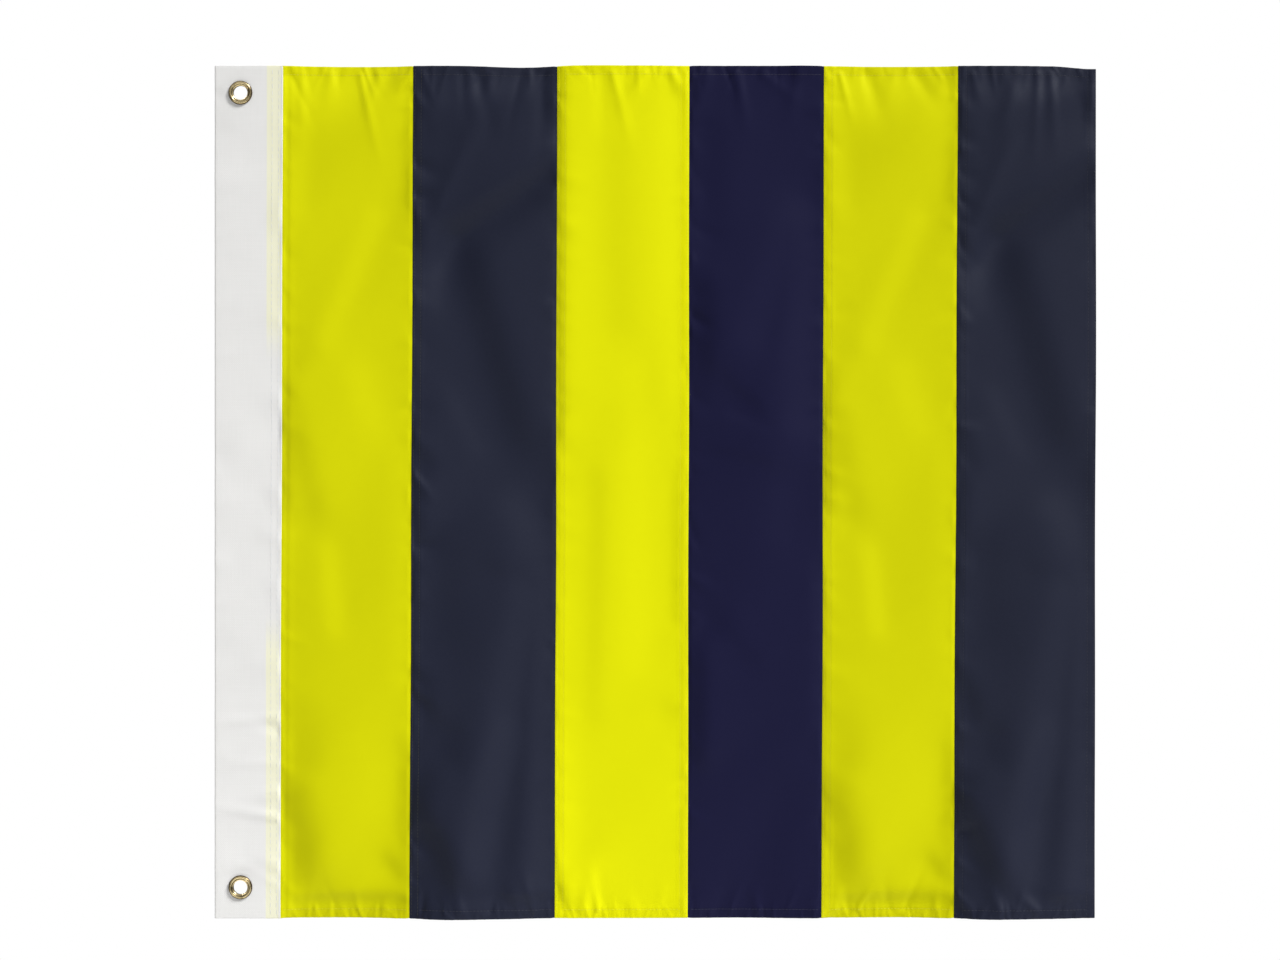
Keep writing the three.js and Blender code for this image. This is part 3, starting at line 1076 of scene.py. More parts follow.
@dataclass
class Heading:
    """The canvas band at the hoist: folded round the rope side, with its fly edges and ends turned in."""

    surface: FlagSurface
    canvas: float = 0.34 * MM
    face: float = 0.76 * MM
    turned: float = 0.40 * MM
    turn_in: float = 8.5 * MM
    end_turn: float = 7.0 * MM
    end_gap: float = 0.36 * MM
    hole: float = 6.3 * MM
    fine: float = 1.5 * MM
    coarse: float = 2.2 * MM
    margin: float = 14.0 * MM
    end_margin: float = 30.0 * MM
    corner_gap: float = 2.0 * MM
    bend_steps: int = 5
    stitch: float = 5.0 * MM
    thread: float = 0.30 * MM
    flat: tuple[float, float] = (0.0, 0.0)
    threads: tuple[str, ...] = ("heading_thread_1", "heading_thread_2")

    def _across(self) -> tuple[Array, Array]:
        """The canvas's path from one turned-in fly edge round the hoist to the other."""
        edge, hoist = self.surface.seams[0], self.surface.hoist
        small = (self.face - self.turned) / 2
        inner = np.linspace(edge - self.turn_in, edge - 2 * small, self.bend_steps + 1)
        bend = half_turn(self.bend_steps)[::-1]
        lip_x, lip_d = edge - small + small * np.sin(bend), self.turned + small * (1 - np.cos(bend))
        face_x = spaced(hoist + self.face, edge - small, self.fine, self.coarse, self.margin)
        turn = half_turn(2 * self.bend_steps)
        round_x, round_d = hoist + self.face - self.face * np.sin(turn), self.face * np.cos(turn)
        xs = [inner, lip_x, face_x[::-1], round_x, face_x, lip_x[::-1], inner[::-1]]
        ds = [
            np.full_like(inner, self.turned),
            lip_d,
            np.full_like(face_x, self.face),
            -round_d,
            np.full_like(face_x, -self.face),
            -lip_d[::-1],
            np.full_like(inner, -self.turned),
        ]
        self.rim_columns = len(inner) + len(lip_x)
        return np.concatenate(xs), np.concatenate(ds)

    def _upright(self, x: Array, depth: Array) -> tuple[Array, Array, Array, Array]:
        """Turns the ends in.

        Args:
            x: the places across the canvas.
            depth: its depths there.

        Returns:
            Grids of places, heights and depths, and which steps are turned in.
        """
        low, high = self.surface.bottom, self.surface.top
        small = self.end_gap / 2
        bend = half_turn(self.bend_steps)
        turned = np.linspace(self.end_turn, 2 * small, self.bend_steps + 1)
        main = spaced(low + 2 * small, high - 2 * small, self.fine, self.coarse, self.end_margin)
        heights = [
            low + turned,
            low + small - small * np.sin(bend),
            main,
            high - small + small * np.sin(bend[::-1]),
            high - turned[::-1],
        ]
        sunk = [
            np.ones_like(turned),
            (1 - np.cos(bend)) / 2,
            np.zeros_like(main),
            (1 - np.cos(bend[::-1])) / 2,
            np.ones_like(turned),
        ]
        z, inside = np.concatenate(heights), np.concatenate(sunk)
        fold = np.clip((self.face - np.abs(depth)) / self.face, 0, 1) * (x < self.surface.hoist + self.face)
        places = x[:, None] + self.end_gap * fold[:, None] * inside[None, :]
        depths = depth[:, None] - np.sign(depth)[:, None] * self.end_gap * inside[None, :]
        depths = np.where(np.abs(depth)[:, None] < self.end_gap, depth[:, None] * (1 - 0.5 * inside), depths)
        return places, np.repeat(z[None, :], len(x), axis=0), depths, inside

    def _cut(self, x: Array, z: Array, inside: Array) -> tuple[Array, Array, Array]:
        """Cuts the grommet holes and clips the corners that would be too thick to sew.

        Args:
            x: the grid of places, which is changed round the holes.
            z: the grid of heights, which is changed round the holes.
            inside: which steps up the canvas are turned in.

        Returns:
            The two grids and which of their cells are cloth.
        """
        keep = np.ones((x.shape[0] - 1, x.shape[1] - 1), bool)
        mid_x = (x[:-1, :-1] + x[1:, 1:]) / 2
        mid_z = (z[:-1, :-1] + z[1:, 1:]) / 2
        for node in ("upper_eyelet", "lower_eyelet"):
            cx, cz = middle_of(node)
            open_cells = np.hypot(mid_x - cx, mid_z - cz) < self.hole
            keep &= ~open_cells
            gone, kept = np.zeros((2, *x.shape), bool)
            for spot in np.ndindex(2, 2):
                cells = tuple(slice(at, at + count) for at, count in zip(spot, keep.shape))
                gone[cells] |= open_cells
                kept[cells] |= ~open_cells
            rim = gone & kept
            away = np.hypot(x - cx, z - cz)
            x = np.where(rim, cx + (x - cx) * self.hole / np.maximum(away, MM), x)
            z = np.where(rim, cz + (z - cz) * self.hole / np.maximum(away, MM), z)
        rims = self.rim_columns
        short = (inside[:-1] + inside[1:]) > 0
        reach = self.surface.height / 2 - self.end_turn - self.corner_gap
        near_end = short | (np.abs(z[0, :-1] - self.surface.middle) > reach)
        keep[:rims, short] = False
        keep[-rims:, short] = False
        keep[: rims // 2, near_end] = False
        keep[-(rims // 2):, near_end] = False
        return x, z, keep

    def build(self) -> Piece:
        """Makes the canvas.

        Returns:
            The canvas as an object with its flat coordinates.
        """
        x, depth = self._across()
        across = path_length(x, depth)
        places, heights, depths, inside = self._upright(x, depth)
        up = path_length(heights[0], depths[len(x) // 4])
        places, heights, keep = self._cut(places, heights, inside)
        self.flat = (float(across[-1]), float(up[-1]))
        middle = self.surface.place(places, heights, depths)
        uv = np.stack(np.meshgrid(across, up, indexing="ij"), axis=-1)
        return link("heading_canvas", thick_sheet("heading_canvas", middle, uv, self.canvas, keep))


@dataclass
class Grommet:
    """A pressed brass grommet: an eyelet whose barrel is rolled over a washer behind the canvas."""

    name: str
    bore: float = 5.1 * MM
    wall: float = 0.4 * MM
    canvas_face: float = 0.94 * MM
    lip: float = 1.35 * MM
    steps: int = 96
    arc: int = 9
    crest_shift: float = 0.35 * MM  # how far the flange's crest is outside the middle of the metal
    flange_turn: float = 0.80  # the share of a half turn that the flange covers
    flange_fullness: float = 0.8  # below 1 its section is squarer than an ellipse
    bead: tuple[float, float] = (0.62 * MM, 0.55 * MM)  # the width and height of the bead at the bore
    bead_from: float = -0.9
    seat_gap: float = 0.02 * MM
    rim_step: float = 0.2 * MM
    lip_step: float = 0.1 * MM
    dish: tuple[float, float] = (1.1 * MM, 1.25 * MM)  # the half width and height of the washer's rim
    # Steps from the rim down to the hole: out, up and painted shade.
    washer_slope: tuple[tuple[float, float, float], ...] = (
        (0.5 * MM, 0.75 * MM, 0.5),
        (0.0, 0.6 * MM, 0.8),
        (0.0, 0.0, 0.8),
    )

    @property
    def eyelet(self) -> str:
        """The eyelet's node."""
        return f"{self.name}_eyelet"

    @property
    def washer(self) -> str:
        """The washer's node."""
        return f"{self.name}_washer"

    def _turned(self, name: str, outline: list[tuple[float, float, float]], node: str) -> Piece:
        """Turns a closed outline round the middle of a node.

        Args:
            name: the piece's name.
            outline: radii, depths and darkening in order round the metal, where a darkening of 1 is fully
                dark metal, painted shade and dark reflection.
            node: the node that it stands for.

        Returns:
            The piece.
        """
        cx, cz = middle_of(node)
        turn = np.linspace(0, 2 * math.pi, self.steps, endpoint=False)[:, None]
        radius, depth, age = np.array(outline).T
        ring = [cx + radius * np.cos(turn), depth + 0 * turn, cz + radius * np.sin(turn)]
        points = np.stack(ring, axis=-1).reshape(-1, 3)
        count = len(outline)
        faces = []
        for step in range(self.steps):
            here, there = step * count, (step + 1) % self.steps * count
            for spot in range(count):
                after = (spot + 1) % count
                faces.append([here + spot, here + after, there + after, there + spot])
        mesh = mesh_from(name, points, faces)
        mark = mesh.attributes.new(PAINTED_SHADE_MARK, "FLOAT", "POINT")
        mark.data.foreach_set("value", np.tile(age, self.steps).astype(np.float32))
        return link(name, mesh)

    def build_eyelet(self) -> Piece:
        """Makes the eyelet: a rounded flange with a bead at the bore, a barrel and a rolled lip."""
        low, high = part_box(self.eyelet)
        rim = (high.x - low.x) / 2
        front, back = low.y, high.y
        crest = (rim + self.bore) / 2 + self.crest_shift
        half, rise = rim - crest, -front - self.canvas_face
        outline = []
        for share in np.linspace(0, self.flange_turn, self.arc + 4):
            angle = share * math.pi
            # Painted shade and dark reflection on the flange's outer edge and on its inner slope.
            dark = 1.0 - eased((share - 0.29) / 0.10) + 0.9 * eased((share - 0.62) / 0.10)
            depth = -self.canvas_face - rise * math.sin(angle) ** self.flange_fullness
            outline.append((crest + half * math.cos(angle), depth, dark))
        width, height = self.bead
        for angle in np.linspace(self.bead_from, math.pi / 2, self.arc):
            radius = self.bore + width - width * math.sin(angle)
            depth = front + height - height * math.cos(angle)
            # Painted shade where the bead turns into the flange.
            outline.append((radius, depth, 0.9 * bell(angle - self.bead_from, 0.6)))
        roll = self.lip / 2
        # Painted shade in the bore, a little on the rolled lip and most on the back.
        outline += [(self.bore, depth, 0.55) for depth in np.linspace(0, back - roll, 4)]
        for angle in np.linspace(0.2, math.pi, self.arc):
            radius = self.bore + roll - roll * math.cos(angle)
            outline.append((radius, back - roll + roll * math.sin(angle), 0.2))
        inner, seat = self.bore + self.wall, -self.canvas_face + self.seat_gap
        outline += [
            (self.bore + 2 * roll - self.wall, back - roll, 0.9),
            (inner, back - roll - self.lip_step, 0.9),
            (inner, seat, 0.9),
            (rim - self.rim_step, seat, 0.9),
        ]
        return self._turned(self.eyelet + "_brass", outline, self.eyelet)

    def build_washer(self) -> Piece:
        """Makes the washer: a dished ring with a rounded outer edge."""
        low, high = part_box(self.washer)
        edge, crown = self.dish
        middle = (high.x - low.x) / 2 - edge
        hole, face = self.bore + self.wall + self.lip_step, self.canvas_face
        outline = []
        for share in np.linspace(0, 1, 2 * self.arc):
            angle = share * math.pi
            # Painted shade where the washer's rim meets the canvas on both sides.
            dark = 0.8 * bell(share, 0.12) + 0.7 * bell(share - 1, 0.2)
            outline.append((middle + edge * math.cos(angle), face + crown * math.sin(angle), dark))
        # Painted shade on the slope down to the hole.
        outline += [(hole + out, face + up, age) for out, up, age in self.washer_slope]
        return self._turned(self.washer + "_brass", outline[::-1], self.washer)


class Nodes:
    """A small hand for wiring shader nodes in one tree."""

    def __init__(self, tree: bpy.types.NodeTree) -> None:
        """Takes the tree to work in."""
        self.tree = tree

    def add(self, kind: str, **settings: object) -> bpy.types.Node:
        """Adds a node and gives it its settings."""
        node = self.tree.nodes.new(kind)
        for key, value in settings.items():
            setattr(node, key, value)
        return node

    def wire(self, source: Socket, target: Socket) -> None:
        """Links one socket to another."""
        self.tree.links.new(source, target)

    def feed(self, target: Socket, value: object) -> None:
        """Links a socket to target, or sets a plain value on it."""
        if isinstance(value, Socket):
            self.wire(value, target)
        else:
            target.default_value = value

    def maths(self, operation: str, *values: object) -> Socket:
        """Adds a Math node and returns what it puts out."""
        node = self.add("ShaderNodeMath", operation=operation)
        for target, value in zip(node.inputs, (*values, 0.0, 0.0)):
            self.feed(target, value)
        return node.outputs[0]

    def scaled(self, value: Socket, size: float, start: float) -> Socket:
        """A value times size, counted from start."""
        return self.maths("MULTIPLY_ADD", value, size, start)

    def split(self, vector: Socket) -> list[Socket]:
        """The three parts of a vector."""
        node = self.add("ShaderNodeSeparateXYZ")
        self.wire(vector, node.inputs[0])
        return list(node.outputs)

    def blend(self, share: object, first: object, second: object) -> Socket:
        """Mixes two colours, as sockets or as plain colours, and returns the mix."""
        node = self.add("ShaderNodeMix", data_type="RGBA", blend_type="MIX")
        self.feed(node.inputs[0], share)
        for spot, colour in ((6, first), (7, second)):
            self.feed(node.inputs[spot], (*colour, 1) if isinstance(colour, tuple) else colour)
        return node.outputs[2]

    def flat_map(self) -> Socket:
        """The cloth's flat coordinates, in metres."""
        return self.add("ShaderNodeUVMap", uv_map=CLOTH_MAP).outputs[0]

    def noise(self, where: Socket, scale: object, detail: float = 2.0) -> Socket:
        """Adds a noise texture and returns its value."""
        node = self.add("ShaderNodeTexNoise")
        self.wire(where, node.inputs["Vector"])
        self.feed(node.inputs["Scale"], scale)
        node.inputs["Detail"].default_value = detail
        return node.outputs[0]

    def surface(
        self,
        colour: Socket,
        roughness: Socket,
        relief: Socket,
        bump: tuple[float, float],
        **plain: object,
    ) -> None:
        """Adds the shader and a bump, and wires them to the material's output.

        Args:
            colour: its colour.
            roughness: how dull it is.
            relief: the height that the bump reads.
            bump: the bump's strength and distance.
            plain: values for its other sockets, with _ for each space in their names.
        """
        shader = self.add("ShaderNodeBsdfPrincipled")
        self.wire(colour, shader.inputs["Base Color"])
        self.wire(roughness, shader.inputs["Roughness"])
        for title, value in plain.items():
            shader.inputs[title.replace("_", " ")].default_value = value
        raised = self.add("ShaderNodeBump")
        raised.inputs["Strength"].default_value, raised.inputs["Distance"].default_value = bump
        self.wire(relief, raised.inputs["Height"])
        self.wire(raised.outputs[0], shader.inputs["Normal"])
        self.wire(shader.outputs[0], self.add("ShaderNodeOutputMaterial").inputs[0])


def new_material(name: str) -> tuple[Material, Nodes]:
    """An empty material and a hand for its nodes."""
    made = bpy.data.materials.new(name)
    made.use_nodes = True
    made.node_tree.nodes.clear()
    return made, Nodes(made.node_tree)


@dataclass(frozen=True)
class Effect:
    """A shader node group that several finishes share."""

    name: str
    inputs: tuple[tuple[str, str, float], ...]
    outputs: tuple[str, ...]

    def start(self) -> tuple[Nodes, bpy.types.Node, bpy.types.Node]:
        """Makes the empty group with its sockets.

        Returns:
            A hand for its nodes, its input node and its output node.
        """
        tree = bpy.data.node_groups.new(self.name, "ShaderNodeTree")
        for title, kind, value in self.inputs:
            socket = tree.interface.new_socket(title, in_out="INPUT", socket_type=kind)
            if kind == "NodeSocketFloat":
                socket.default_value = value
        for title in self.outputs:
            tree.interface.new_socket(title, in_out="OUTPUT", socket_type="NodeSocketFloat")
        hand = Nodes(tree)
        return hand, hand.add("NodeGroupInput"), hand.add("NodeGroupOutput")

    def place(self, hand: Nodes, **values: object) -> bpy.types.Node:
        """Puts the group in a material with its own values."""
        node = hand.add("ShaderNodeGroup")
        node.node_tree = bpy.data.node_groups[self.name]
        for key, value in values.items():
            hand.feed(node.inputs[key.replace("_", " ").capitalize()], value)
        return node


WEAVE = Effect(
    "plain_weave",
    (
        ("Cloth", "NodeSocketVector", 0.0),
        ("Pitch", "NodeSocketFloat", 0.5 * MM),
        ("Slub", "NodeSocketFloat", 0.4),
    ),
    ("Height", "Shade"),
)
BAND = Effect(
    "soft_band",
    (
        ("Place", "NodeSocketFloat", 0.0),
        ("Low", "NodeSocketFloat", 0.0),
        ("High", "NodeSocketFloat", 0.01),
        ("Softness", "NodeSocketFloat", 0.3 * MM),
    ),
    ("Mask",),
)
MOTTLE = Effect(
    "mottle",
    (
        ("Cloth", "NodeSocketVector", 0.0),
        ("Broad", "NodeSocketFloat", 0.06),
        ("Fine", "NodeSocketFloat", 0.004),
    ),
    ("Patches", "Grain"),
)


SLUB_STRETCH = 0.03  # how slowly a slub changes along its thread
SLUB_SCALE = 0.7  # how fast it changes across, per thread


def build_weave() -> None:
    """Makes the weave: threads over and under each other, some of them thicker than others."""
    hand, source, sink = WEAVE.start()
    per = hand.maths("DIVIDE", math.pi, source.outputs["Pitch"])
    along = hand.split(source.outputs["Cloth"])[:2]
    warp, weft = (hand.maths("SINE", hand.maths("MULTIPLY", part, per)) for part in along)
    checks = hand.maths("MULTIPLY", warp, weft)
    slubs = []
    for stretch in ((1.0, SLUB_STRETCH), (SLUB_STRETCH, 1.0)):
        scaled = hand.add("ShaderNodeVectorMath", operation="MULTIPLY")
        hand.wire(source.outputs["Cloth"], scaled.inputs[0])
        scaled.inputs[1].default_value = (*stretch, 1.0)
        scale = hand.maths("DIVIDE", SLUB_SCALE, source.outputs["Pitch"])
        slubs.append(hand.noise(scaled.outputs[0], scale, 1.0))
    slub = hand.maths("SUBTRACT", hand.maths("ADD", *slubs), 1.0)
    uneven = hand.maths("MULTIPLY", slub, source.outputs["Slub"])
    hand.wire(hand.maths("MULTIPLY_ADD", checks, 0.5, uneven), sink.inputs["Height"])
    hand.wire(hand.maths("ADD", uneven, 0.5), sink.inputs["Shade"])


def build_band() -> None:
    """Makes the band: 1 between two places and 0 outside, with soft edges."""
    hand, source, sink = BAND.start()
    soft = source.outputs["Softness"]
    rise = hand.add("ShaderNodeMapRange", interpolation_type="SMOOTHSTEP")
    fall = hand.add("ShaderNodeMapRange", interpolation_type="SMOOTHSTEP")
    for node, edge in ((rise, "Low"), (fall, "High")):
        hand.wire(source.outputs["Place"], node.inputs[0])
        hand.wire(hand.maths("SUBTRACT", source.outputs[edge], soft), node.inputs[1])
        hand.wire(hand.maths("ADD", source.outputs[edge], soft), node.inputs[2])
    below = hand.maths("SUBTRACT", 1.0, fall.outputs[0])
    hand.wire(hand.maths("MULTIPLY", rise.outputs[0], below), sink.inputs[0])


def build_mottle() -> None:
    """Makes the mottle: broad cloudy patches and a fine grain, both round a half."""
    hand, source, sink = MOTTLE.start()
    for title, target, detail in (("Broad", "Patches", 3.0), ("Fine", "Grain", 2.0)):
        scale = hand.maths("DIVIDE", 1.0, source.outputs[title])
        hand.wire(hand.noise(source.outputs["Cloth"], scale, detail), sink.inputs[target])


@dataclass(frozen=True)
class Bunting:
    """Light woven nylon in one colour, deeper where it lies double at the hems and seams.

    Attributes:
        name: the material's name.
        colour: the single cloth's colour.
        deep: the colour of two layers.
        roughness: how dull it is.
        specular: how strongly it shines.
        specular_tint: the colour of its shine.
        falloff: painted shade, how much darker it is at the bottom than at the top, as a share.
        pitch: the distance between threads.
        slub: how uneven the threads are.
        patch: the size of its cloudy patches.
        grain: the size of its grain.
    """

    name: str
    colour: Colour
    deep: Colour
    roughness: float
    specular: float
    specular_tint: Colour = (1.0, 1.0, 1.0)
    # painted shade: the colour darkens towards the bottom by this share
    fade: float = 0.0
    pitch: float = 0.42 * MM
    slub: float = 0.5
    patch: float = 0.09
    grain: float = 2.2 * MM

    PATCHES = 0.5  # how far its cloudy patches change the shade
    WOVEN = 0.3  # and how far its threads do
    SHADED = 0.35  # how far the shade changes the colour
    DOUBLED = 0.45  # and how far a second layer does
    DULLING = 0.16  # how far its grain changes the roughness
    BUMP = (0.28, 0.05 * MM)  # the strength and the depth of its threads

    def material(self, cloth: SewnCloth) -> Material:
        """Makes the material for one stripe's cloth.

        Args:
            cloth: the cloth, whose flat size says where its edges lie.

        Returns:
            The material.
        """
        made, hand = new_material(f"{self.name}_{cloth.plan.number}")
        flat = hand.flat_map()
        across, up, _ = hand.split(flat)
        wide, tall = cloth.flat
        hem, seam = 2 * cloth.sewing.hem_fold, 2 * cloth.sewing.seam_fold
        edges = [(up, 0.0, hem), (up, tall, hem)]
        if cloth.plan.hoist is Finish.FOLDED:
            edges.append((across, 0.0, seam))
        if cloth.plan.fly is Finish.FOLDED:
            edges.append((across, wide, seam))
        masks = [
            BAND.place(hand, place=place, low=edge - reach, high=edge + reach).outputs[0]
            for place, edge, reach in edges
        ]
        double = masks[0]
        for mask in masks[1:]:
            double = hand.maths("MAXIMUM", double, mask)
        mottle = MOTTLE.place(hand, cloth=flat, broad=self.patch, fine=self.grain)
        weave = WEAVE.place(hand, cloth=flat, pitch=self.pitch, slub=self.slub)
        patches = hand.scaled(mottle.outputs["Patches"], self.PATCHES, (1 - self.PATCHES) / 2)
        patches = hand.maths("SUBTRACT", patches, self.WOVEN / 2)
        shade = hand.maths("MULTIPLY_ADD", weave.outputs["Shade"], self.WOVEN, patches)
        tint = hand.maths("MULTIPLY_ADD", double, self.DOUBLED, hand.maths("MULTIPLY", shade, self.SHADED))
        colour = hand.blend(tint, self.colour, self.deep)
        # Painted shade: the colour is blended towards black further down the stripe.
        if self.fade:
            down = hand.scaled(hand.maths("DIVIDE", up, tall), -1.0, 1.0)
            colour = hand.blend(hand.maths("MULTIPLY", down, self.fade), colour, (0, 0, 0))
        hand.surface(
            colour,
            hand.scaled(mottle.outputs["Grain"], self.DULLING, self.roughness - self.DULLING / 2),
            weave.outputs["Height"],
            bump=self.BUMP,
            Specular_IOR_Level=self.specular,
            Specular_Tint=(*self.specular_tint, 1),
        )
        return made


@dataclass(frozen=True)
class Canvas:
    """White cotton canvas, with the first stripe's edge showing through its upper and lower thirds."""

    name: str = "heading_canvas"
    colour: Colour = (0.815, 0.81, 0.80)
    shadow: Colour = (0.73, 0.725, 0.71)
    cream: Colour = (0.85, 0.84, 0.60)
    pitch: float = 0.7 * MM
    edge_gap: float = 1.2 * MM
    edge_softness: float = 0.6 * MM
    strength: float = 0.8  # how strongly the stripe's edge shows

    PATCHES = 0.5
    WOVEN = 0.5

    def material(self, heading: Heading) -> Material:
        """Makes the canvas's material.

        Args:
            heading: the heading, whose sizes say where the stripe's edge lies inside.

        Returns:
            The material.
        """
        made, hand = new_material(self.name)
        flat = hand.flat_map()
        across, up, _ = hand.split(flat)
        wide, tall = heading.flat
        edge = heading.turn_in + self.edge_gap
        inside = heading.turn_in + heading.surface.sewing.sewn_in
        shows = [
            BAND.place(hand, place=across, low=low, high=high, softness=self.edge_softness).outputs[0]
            for low, high in ((edge, inside), (wide - inside, wide - edge))
        ]
        wavy = hand.maths("ADD", up, hand.scaled(hand.noise(flat, 9.0), 0.05, -0.025))
        third = tall / 3
        plain = BAND.place(hand, place=wavy, low=third, high=tall - third, softness=0.02).outputs[0]
        show = hand.maths("MULTIPLY", hand.maths("MAXIMUM", *shows), hand.maths("SUBTRACT", 1.0, plain))
        mottle = MOTTLE.place(hand, cloth=flat, broad=0.05, fine=1.8 * MM)
        weave = WEAVE.place(hand, cloth=flat, pitch=self.pitch, slub=0.6)
        patches = hand.maths("SUBTRACT", hand.scaled(mottle.outputs["Patches"], self.PATCHES, 0.0), 0.1)
        shade = hand.maths("MULTIPLY_ADD", weave.outputs["Shade"], self.WOVEN, patches)
        colour = hand.blend(shade, self.colour, self.shadow)
        colour = hand.blend(hand.maths("MULTIPLY", show, self.strength), colour, self.cream)
        hand.surface(
            colour,
            hand.scaled(mottle.outputs["Grain"], 0.14, 0.72),
            weave.outputs["Height"],
            bump=(0.5, 0.09 * MM),
            Specular_IOR_Level=0.25,
        )
        return made


@dataclass(frozen=True)
class Thread:
    """Twisted sewing thread in one colour."""

    name: str
    colour: Colour
    dark: Colour
    twist: float = 0.45 * MM

    def sunk_in(self, cloth: Bunting, share: float) -> Thread:
        """The same thin thread as it looks on a cloth whose colour shows through it.

        Args:
            cloth: the cloth under it.
            share: how much of the cloth's colour shows.

        Returns:
            The thread's finish.
        """
        mixed = [
            tuple(share * under + (1 - share) * own for under, own in zip(cloth.colour, colour))
            for colour in (self.colour, self.dark)
        ]
        return Thread(f"{self.name}_on_{cloth.name}", *mixed)

    def material(self) -> Material:
        """Makes the thread's material."""
        made, hand = new_material(self.name)
        where = hand.add("ShaderNodeTexCoord").outputs["Object"]
        mottle = MOTTLE.place(hand, cloth=where, broad=6 * MM, fine=self.twist)
        hand.surface(
            hand.blend(mottle.outputs["Grain"], self.colour, self.dark),
            hand.scaled(mottle.outputs["Patches"], 0.2, 0.45),
            mottle.outputs["Grain"],
            bump=(0.4, 0.05 * MM),
            Sheen_Weight=0.2,
        )
        return made


@dataclass(frozen=True)
class Brass:
    """Polished yellow brass with fine rub marks, cloudy tarnish, and painted shade and dark reflection where
    the mesh is marked.
    """

    name: str = "polished_brass"
    bright: Colour = (0.98, 0.80, 0.44)
    # the colour of the painted shade and dark reflection, and of the tarnish
    dull: Colour = (0.075, 0.046, 0.018)

    def material(self) -> Material:
        """Makes the brass's material."""
        made, hand = new_material(self.name)
        where = hand.add("ShaderNodeTexCoord").outputs["Object"]
        mottle = MOTTLE.place(hand, cloth=where, broad=5 * MM, fine=0.6 * MM)
        # The mesh's marks are painted shade and dark reflection; the cloudy patches add tarnish.
        mark = hand.add("ShaderNodeAttribute", attribute_type="GEOMETRY", attribute_name=PAINTED_SHADE_MARK)
        cloud = hand.scaled(mottle.outputs["Patches"], 2.2, -1.0)
        age = hand.maths("ADD", mark.outputs["Fac"], hand.maths("MAXIMUM", cloud, 0.0))
        hand.surface(
            hand.blend(hand.maths("MINIMUM", age, 1.0), self.bright, self.dull),
            hand.scaled(mottle.outputs["Grain"], 0.16, 0.20),
            mottle.outputs["Grain"],
            bump=(0.06, 0.05 * MM),
            Metallic=1.0,
        )
        return made


BUNTINGS = {
    Slot.YELLOW: Bunting(
        name="yellow_nylon",
        colour=(0.665, 0.670, 0.0030),
        deep=(0.60, 0.585, 0.0025),
        roughness=0.5,
        specular=0.35,
        specular_tint=(1.0, 1.0, 0.02),
        # painted shade, darker towards the bottom
        fade=0.10,
    ),
    Slot.NAVY: Bunting(
        name="navy_nylon",
        colour=(0.0046, 0.0070, 0.0250),
        deep=(0.0034, 0.0053, 0.0200),
        roughness=0.66,
        specular=0.33,
        specular_tint=(0.95, 0.98, 1.0),
    ),
    Slot.INDIGO: Bunting(
        name="indigo_nylon",
        colour=(0.0058, 0.0058, 0.036),
        deep=(0.0045, 0.0045, 0.029),
        roughness=0.6,
        specular=0.15,
    ),
}
BRIGHT_YELLOW = Bunting(
    name="bright_yellow_nylon",
    colour=(0.765, 0.775, 0.0030),
    deep=(0.69, 0.68, 0.0025),
    roughness=0.5,
    specular=0.35,
    specular_tint=(1.0, 1.0, 0.02),
)
THREADS = {
    Slot.PALE_THREAD: Thread("pale_thread", (0.80, 0.81, 0.83), (0.62, 0.64, 0.69)),
    Slot.YELLOW_THREAD: Thread("yellow_thread", (0.62, 0.60, 0.01), (0.42, 0.38, 0.008)),
    Slot.NAVY_THREAD: Thread("navy_thread", (0.012, 0.015, 0.040), (0.006, 0.008, 0.022)),
}


def finish_of(plan: StripePlan) -> Bunting:
    """The nylon of a stripe: the middle yellow stripe is from a brighter roll."""
    return BRIGHT_YELLOW if plan.node == "yellow_stripe_3" else BUNTINGS[plan.slot]


